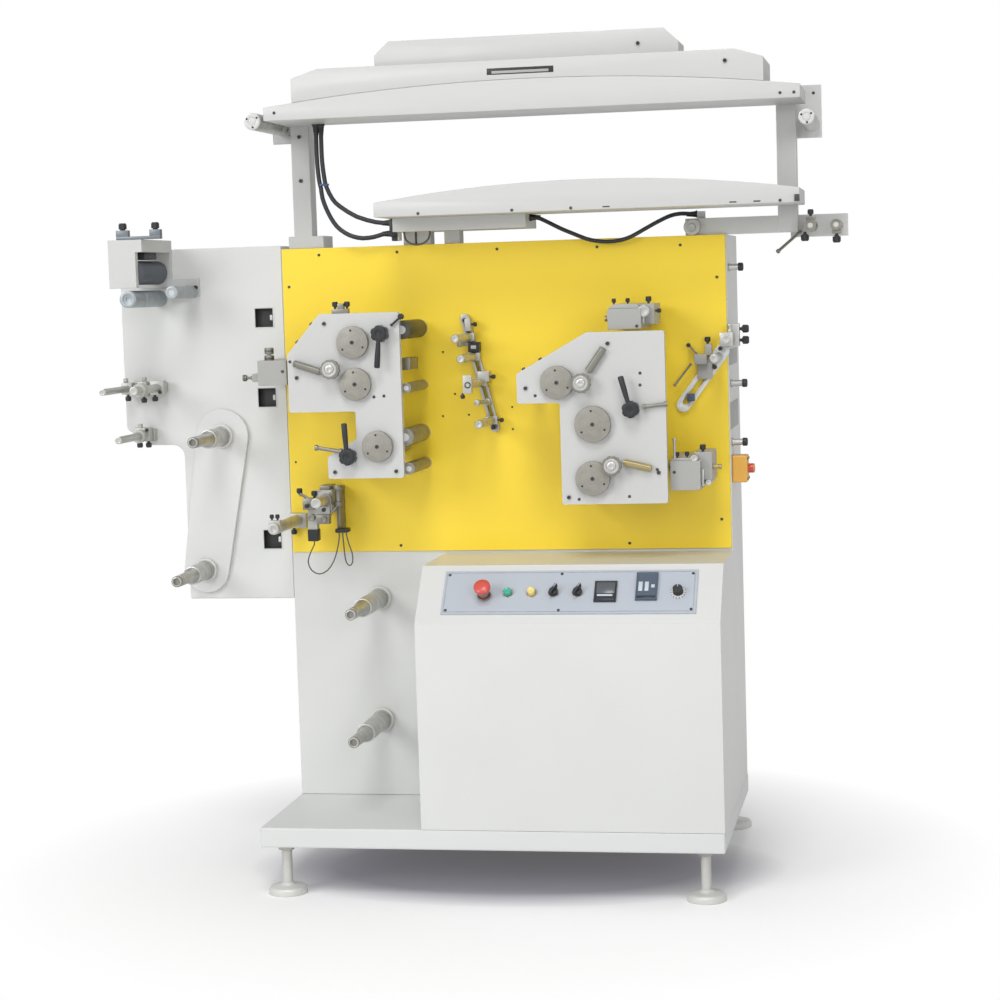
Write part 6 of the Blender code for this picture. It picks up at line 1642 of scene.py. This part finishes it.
# Dryer
@dataclass
class Dryer:
    """Posts, brackets and the two-deck dryer with its lid, hood and channel."""

    front: float = -0.215
    back: float = 0.0057
    tray_left: float = -0.52
    tray_right: float = 0.743
    tray_bottom: float = 1.834
    tray_end: float = 1.865
    tray_rise: float = 0.04
    lid_left: float = -0.45
    lid_right: float = 0.661
    lid_top: float = 1.95
    lid_end: float = 1.93
    lid_run: float = 0.065
    lid_seat: float = 0.0003
    hood: tuple[float, float, float, float] = (-0.261, 0.462, -0.15, -0.03)
    hood_height: float = 0.062
    hood_end: float = 0.03
    hood_run: float = 0.035
    lower_left: float = -0.26
    lower_right: float = 0.737
    lower_bottom: float = 1.598
    lower_end: float = 0.034
    lower_rise: float = 0.037
    arch_steps: int = 48
    lid_body: str = "dryer_lid"

    def build(self) -> None:
        """Make the decks and dress the frame."""
        for node in ("left_post", "right_post", "dryer_channel"):
            soften(node, 0.0015, 60.0)
        self.build_decks()
        self.build_lid_trim()
        self.build_deck_trim()
        self.build_frame_trim()

    def arch(self, left: float, right: float, end: float, rise: float, steps: int) -> list[Flat]:
        """Return a shallow arch from its right end to its left end."""
        return [(right + (left - right) * k / steps,
            end + rise * 4 * (k / steps) * (1 - k / steps)) for k in range(steps + 1)]

    def tray_top(self, x: float) -> float:
        """Return the height of the tray's arched top at a place along it."""
        share = (self.tray_right - x) / (self.tray_right - self.tray_left)
        return self.tray_end + self.tray_rise * 4 * share * (1 - share)

    def build_decks(self) -> None:
        """Make the tray, the lid on it, the hood on the lid, and the lower dryer, all with smooth arches."""
        tray = [(self.tray_left, self.tray_bottom), (self.tray_right, self.tray_bottom)]
        tray += self.arch(self.tray_left, self.tray_right, self.tray_end, self.tray_rise, self.arch_steps)
        self.deck("upper_tray", tray, self.front, self.back, MACHINE)
        span = self.lid_right - self.lid_left
        seat = [(self.lid_left + span * k / self.arch_steps,
            self.tray_top(self.lid_left + span * k / self.arch_steps) + self.lid_seat)
            for k in range(self.arch_steps + 1)]
        lid = seat + [(self.lid_right, self.lid_end), (self.lid_right - self.lid_run, self.lid_top),
            (self.lid_left + self.lid_run, self.lid_top), (self.lid_left, self.lid_end)]
        self.deck("upper_lid", lid, self.front, self.back, self.lid_body)
        left, right, near, far = self.hood
        low = self.lid_top + self.lid_seat
        hood = [(left, low), (right, low), (right, low + self.hood_end),
            (right - self.hood_run, low + self.hood_height), (left + self.hood_run, low + self.hood_height),
            (left, low + self.hood_end)]
        self.deck("top_hood", hood, near, far, self.lid_body)
        lower = [(self.lower_left, self.lower_bottom), (self.lower_right, self.lower_bottom)]
        lower += self.arch(self.lower_left, self.lower_right, self.lower_bottom + self.lower_end, self.lower_rise,
            self.arch_steps)
        self.deck("lower_dryer", lower, self.front, self.back, MACHINE)

    def deck(self, node: str, outline: Sequence[Flat], front: float, back: float, body: str) -> None:
        """Make one deck of folded sheet from its outline, in white paint darkened as painted shade."""
        piece = outlined(node + "_sheet", SHADED_WHITE, outline, front, back, 0.0016)
        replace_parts(report(piece, body), node)

    def build_lid_trim(self) -> None:
        """Make the lid's handle recess as painted shade, a thin black strip with a grey grip strip on it, and its
        screws.
        """
        near = self.front
        # Painted shade: the black strip stands for the shaded hollow of the handle, and the grip's grey is its
        # white paint in shade.
        Kit("lid_handle_recess", BLACK, "black_plastic", (((0.0215, near - 0.0004, 1.9165),
            (0.1785, near + 0.001, 1.9315)),), edge=0.0003, body=self.lid_body).build()
        Kit("lid_handle_grip", GREY, "white_paint", (((0.033, near - 0.0012, 1.919),
            (0.167, near + 0.0002, 1.925)),), edge=0.0005, body=self.lid_body).build()
        fasten("lid_screws", Fitting.CAP_SCREW, [(0.574, near, 1.924)], body=self.lid_body)
        fasten("hood_screws", Fitting.CAP_SCREW, [(0.368, -0.15, 1.979)], body=self.lid_body)

    def build_deck_trim(self) -> None:
        """Set the screws and small slots on the tray and the lower dryer; the slots are thin dark sheets of
        painted shade.
        """
        near = self.front
        fasten("tray_screws", Fitting.PAN_SCREW, [(-0.493, near, 1.852), (0.6975, near, 1.846),
            (0.729, near, 1.846)])
        fasten("lower_dryer_screws", Fitting.PAN_SCREW, [(x, near, 1.6035) for x in (-0.153, 0.071, 0.21, 0.693)])
        # Painted shade: thin dark capsules stand for the shaded openings of three slots.
        slots = [outlined("dryer_slot_shade", SCREW, capsule((x - 0.007, 1.6035), (x + 0.007, 1.6035), 0.003, 6),
            near - 0.0003, near + 0.0006, 0.0) for x in (0.2925, 0.5857, 0.6404)]
        report(joined("lower_dryer_slots", slots))
        Kit("lower_dryer_latch", SCREW, "black_plastic", (((0.7255, near - 0.004, 1.6),
            (0.7372, near + 0.01, 1.616)),)).build()

    def build_frame_trim(self) -> None:
        """Make the rollers' sleeves, the gland, the end cap and the knobs of the dryer's frame."""
        for name, place, radius in (("left_top_roller", (-0.549, 1.835), 0.0203),
                ("right_top_roller", (0.756, 1.79), 0.0183)):
            axis = spot(place[0], 0.0, place[1])
            sleeve(name + "_sleeve", STEEL.material(axis), place, 0.01, 0.2103, radius)
            cap = standing(name + "_cap", TRIM, (Step(radius - 0.002, 0.001), Step(radius * 0.52, -0.0014),
                Step(radius * 0.44, 0.002)), place, 40, 0.0003, foot=0.2101)
            report(cap)
            # Black discs paint the shade in three screw holes on each end cap.
            ring = [(place[0] + radius * 0.7 * math.cos(turn), -0.2108,
                place[1] + radius * 0.7 * math.sin(turn)) for turn in (0.6, 2.7, 4.8)]
            fasten(name + "_cap_screws", Fitting.HOLE_SHADE, ring)
        Kit("left_roller_bracket_rod", DULL, "steel", (), (((-0.53, 0.036, 1.8215), (-0.476, 0.036, 1.8215),
            0.006),)).build()
        fasten("post_screws", Fitting.CAP_SCREW, [(-0.494, 0.006, 1.808), (-0.494, 0.006, 1.701)])
        Kit("plate_plugs", INDICATOR, "white_paint", (), (), ((0.7005, 1.776, 0.006, -0.0442, -0.0434),
            (0.764, 1.766, 0.006, -0.0442, -0.0434)), 0.0003).build()
        fasten("plate_screws", Fitting.PAN_SCREW, [(0.76, 0.044, 1.862)])
        Kit("channel_gland_cover", BLACK, "black_plastic", (((-0.259, -0.062, 1.556), (-0.2423, -0.012, 1.5976)),
            ((-0.2566, -0.051, 1.5452), (-0.2415, -0.019, 1.56)))).build()
        Kit("beam_end_cap", PLATED, "steel", (), (), ((0.469, 1.5545, 0.0195, -0.006, 0.013),
            (0.469, 1.5545, 0.008, 0.012, 0.016))).build()
        for number, x in enumerate((0.752, 0.812), 1):
            sleeve("low_holder_sleeve_%d" % number, DULL.material(spot(x, 0.0, 1.548)), (x, 1.548), -0.038,
                0.0603, 0.0133)
        Kit("low_holder_clamps", DULL, "steel", (((0.741, -0.046, 1.56), (0.763, -0.022, 1.569)),
            ((0.801, -0.046, 1.527), (0.823, -0.022, 1.536))),
            (((0.672, -0.02, 1.489), (0.724, 0.034, 1.536), 0.0036),)).build()
        fasten("low_holder_top_knobs", Fitting.KNOB, [(0.752, -0.034, 1.569)], Facing.UP)
        fasten("low_holder_knobs", Fitting.WIDE_KNOB, [(0.738, -0.034, 1.534), (0.812, -0.034, 1.528)],
            Facing.DOWN)


@dataclass
class Studio:
    """Camera, light, floor and background."""

    camera_place: Spot = (1.0425, -5.6155, 1.425)
    yaw: float = -10.7
    pitch: float = -5.19
    roll: float = -1.757
    lens: float = 84.2
    sensor: float = 36.0
    floor_radius: float = 30.0
    gloss_share: float = 0.35
    white: Colour = (1.0, 1.0, 1.0)
    surround: float = 0.42
    floor_lift: float = 0.08
    floor_colour: Colour = (0.96, 0.96, 0.96)
    # Colour, centre and size of the painted shadow under the press.
    painted_shadow_colour: Colour = (0.36, 0.35, 0.41)
    painted_shadow_place: Spot = (-0.12, 0.24, 0.0)
    painted_shadow_scale: Spot = (1.0 / 0.57, 1.0 / 0.33, 0.0)

    def build(self) -> None:
        """Set up the whole studio."""
        self.build_camera()
        self.build_world()
        self.build_floor()
        self.build_lamps()
        bpy.context.scene.view_settings.view_transform = "Standard"

    def build_camera(self) -> None:
        """Add the camera at the photograph's angle."""
        yaw, pitch, roll = (math.radians(angle) for angle in (self.yaw, self.pitch, self.roll))
        ahead = Vector((math.sin(yaw) * math.cos(pitch), math.cos(yaw) * math.cos(pitch), math.sin(pitch)))
        right = ahead.cross(Vector((0.0, 0.0, 1.0))).normalized()
        up = right.cross(ahead)
        across = right * math.cos(roll) + up * math.sin(roll)
        upward = up * math.cos(roll) - right * math.sin(roll)
        data = bpy.data.cameras.new("studio_camera")
        data.lens = self.lens
        data.sensor_width = self.sensor
        data.clip_end = 100.0
        camera = shown("studio_camera", data)
        turn = Matrix((across, upward, -ahead)).transposed().to_4x4()
        camera.matrix_world = Matrix.Translation(spot(*self.camera_place)) @ turn
        bpy.context.scene.camera = camera

    def build_world(self) -> None:
        """Make an even pale surround that shows as white behind the press."""
        world = bpy.data.worlds.new("studio_world")
        world.use_nodes = True
        bpy.context.scene.world = world
        graph = Graph(world.node_tree)
        base, seen = (graph.node("Background", {"Color": self.white,
            "Strength": strength}).outputs["Background"] for strength in (self.surround, 1.0))
        mix = graph.node("MixShader", {"Fac": self.seen_rays(graph), 1: base, 2: seen})
        graph.feed(world.node_tree.nodes["World Output"].inputs["Surface"], mix.outputs["Shader"])

    def seen_rays(self, graph: Graph) -> Socket:
        """Return one for rays from the camera or through glass, part of it for gloss, else zero."""
        path = graph.node("LightPath").outputs
        total = graph.maths("MULTIPLY_ADD", path["Is Glossy Ray"], self.gloss_share, path["Is Camera Ray"])
        return graph.maths("MULTIPLY_ADD", path["Is Transmission Ray"], 1.0, total)

    def build_floor(self) -> None:
        """Lay a pale floor that keeps the press's shadow, turns to a painted purple-grey shadow in an oval under
        the press, and is white further off.
        """
        deselect_all()
        bpy.ops.mesh.primitive_circle_add(vertices=64, radius=self.floor_radius, fill_type="NGON",
            location=(0.0, 0.0, -0.0005))
        material = bpy.data.materials.new("studio_floor")
        material.use_nodes = True
        graph = Graph(material.node_tree)
        place = graph.node("TexCoord").outputs["Object"]
        # Painted shadow: the floor's colour turns purple-grey in an oval under the press.
        under = graph.node("Mapping", {"Vector": place, "Location": self.painted_shadow_place, "Scale": self.painted_shadow_scale})
        floor_tone_with_painted_shadow = graph.mixed(graph.ranged(graph.length(under.outputs["Vector"]), 0.8, 1.2), self.painted_shadow_colour,
            self.floor_colour)
        shader = material.node_tree.nodes["Principled BSDF"]
        for label, value in (("Base Color", floor_tone_with_painted_shadow), ("Roughness", 0.9), ("Specular IOR Level", 0.1)):
            graph.feed(shader.inputs[label], value)
        lift, bare = (graph.node("Emission", {"Color": self.white,
            "Strength": strength}).outputs["Emission"] for strength in (self.floor_lift, 1.0))
        lifted = graph.node("AddShader", {0: shader.outputs["BSDF"], 1: lift}).outputs["Shader"]
        seen = self.seen_rays(graph)
        near = graph.node("MixShader", {"Fac": seen, 1: shader.outputs["BSDF"], 2: lifted}).outputs["Shader"]
        far = graph.maths("MULTIPLY", graph.ranged(graph.length(place), 0.65, 1.25), seen)
        mix = graph.node("MixShader", {"Fac": far, 1: near, 2: bare})
        graph.feed(material.node_tree.nodes["Material Output"].inputs["Surface"], mix.outputs["Shader"])
        settle(bpy.context.object, "studio_floor", material)

    def build_lamps(self) -> None:
        """Hang three large soft lamps: key from the upper left, fill from the right and one above."""
        lamps = (("key_lamp", (-6.0, -8.6, 4.6), 4.5, 345.0), ("fill_lamp", (5.5, -9.0, 3.6), 4.5, 165.0),
            ("top_lamp", (0.4, -6.5, 9.0), 4.0, 340.0))
        for name, place, size, power in lamps:
            data = bpy.data.lights.new(name, "AREA")
            data.shape = "DISK"
            data.size = size
            data.energy = power
            lamp = shown(name, data)
            lamp.location = place
            lamp.rotation_euler = (Vector((0.0, 0.0, 1.0)) - Vector(place)).to_track_quat("-Z", "Y").to_euler()


# Painted shade: the left post's grey and the right post's pale trim are darker copies of the posts' white paint,
# and the decks, unit plates and nip bracket get the darkened white.
FINISHES = {"yellow_panel": YELLOW, "left_ink_unit": GREY, "upper_ink_unit": GREY, "lower_ink_unit": GREY,
    "dryer_channel": TRIM, "left_post": SHADED_POST, "right_post": TRIM, "slotted_arm": PALE, "wing_guide_upper": PLATED,
    "wing_guide_lower": PLATED, "sensor_cluster": PLATED, "base_frame": DECK, "nip_bracket": SHADED_WHITE,
    "left_unit_plate": SHADED_WHITE, "right_unit_plate": SHADED_WHITE, "centre_guide_bar": PLATED, "switch_box": ORANGE}


def left_unit() -> PrintUnit:
    """Return the left print unit with its own places."""
    return PrintUnit("left_unit", "left_unit_plate", {"left_print_cylinder": (-0.32, 1.306, 0.0385),
        "left_impression_cylinder": (-0.317, 1.207, 0.0385), "left_lower_roller": (-0.268, 1.058, 0.037)},
        {"left_ink_roller": (-0.372, 1.244)}, {"left_upper_lever": (-0.251, 1.325, -95.0),
        "left_lower_lever": (-0.339, 1.035, 93.0)}, ((-0.39, 1.352), (-0.376, 0.998), (-0.226, 0.998),
        (-0.462, 1.225)), ((-0.2745, 1.1754), (-0.25, 1.1772)),
        ((-0.206, 1.332, 0.022), (-0.199, 1.194, 0.012), (-0.206, 1.077, 0.021), (-0.199, 1.002, 0.014)))


def right_unit() -> PrintUnit:
    """Return the right print unit with its own places."""
    return PrintUnit("right_unit", "right_unit_plate", {"right_print_cylinder": (0.167, 1.2, 0.039),
        "right_impression_cylinder": (0.249, 1.101, 0.0425), "right_lower_cylinder": (0.246, 0.974, 0.0405)},
        {"right_ink_roller": (0.227, 1.198), "right_lower_ink_roller": (0.294, 1.004)},
        {"right_lever": (0.34, 1.134, 105.0)}, ((0.091, 1.188), (0.288, 1.288), (0.4, 0.985), (0.187, 0.93)),
        ((0.1135, 1.17), (0.3619, 1.2174), (0.3612, 1.1896), (0.211, 0.925), (0.33, 0.93)))


def main() -> None:
    """Build the studio, the cords and every sub-assembly, and log each piece."""
    logging.basicConfig(level=logging.INFO, format="%(message)s")
    Studio().build()
    Cords().build()
    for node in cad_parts:
        dress(node, FINISHES.get(node, WHITE))
    HARDWARE.build()
    for assembly in (Base(), Housing(), Wing(), Spindles(), Console(), left_unit(), right_unit(), InkUnits(),
            UnitTrim(), PanelGuides(), Dryer()):
        assembly.build()
        LOG.info("%s done", type(assembly).__name__)
    HARDWARE.clear()


if __name__ == "__main__":
    main()
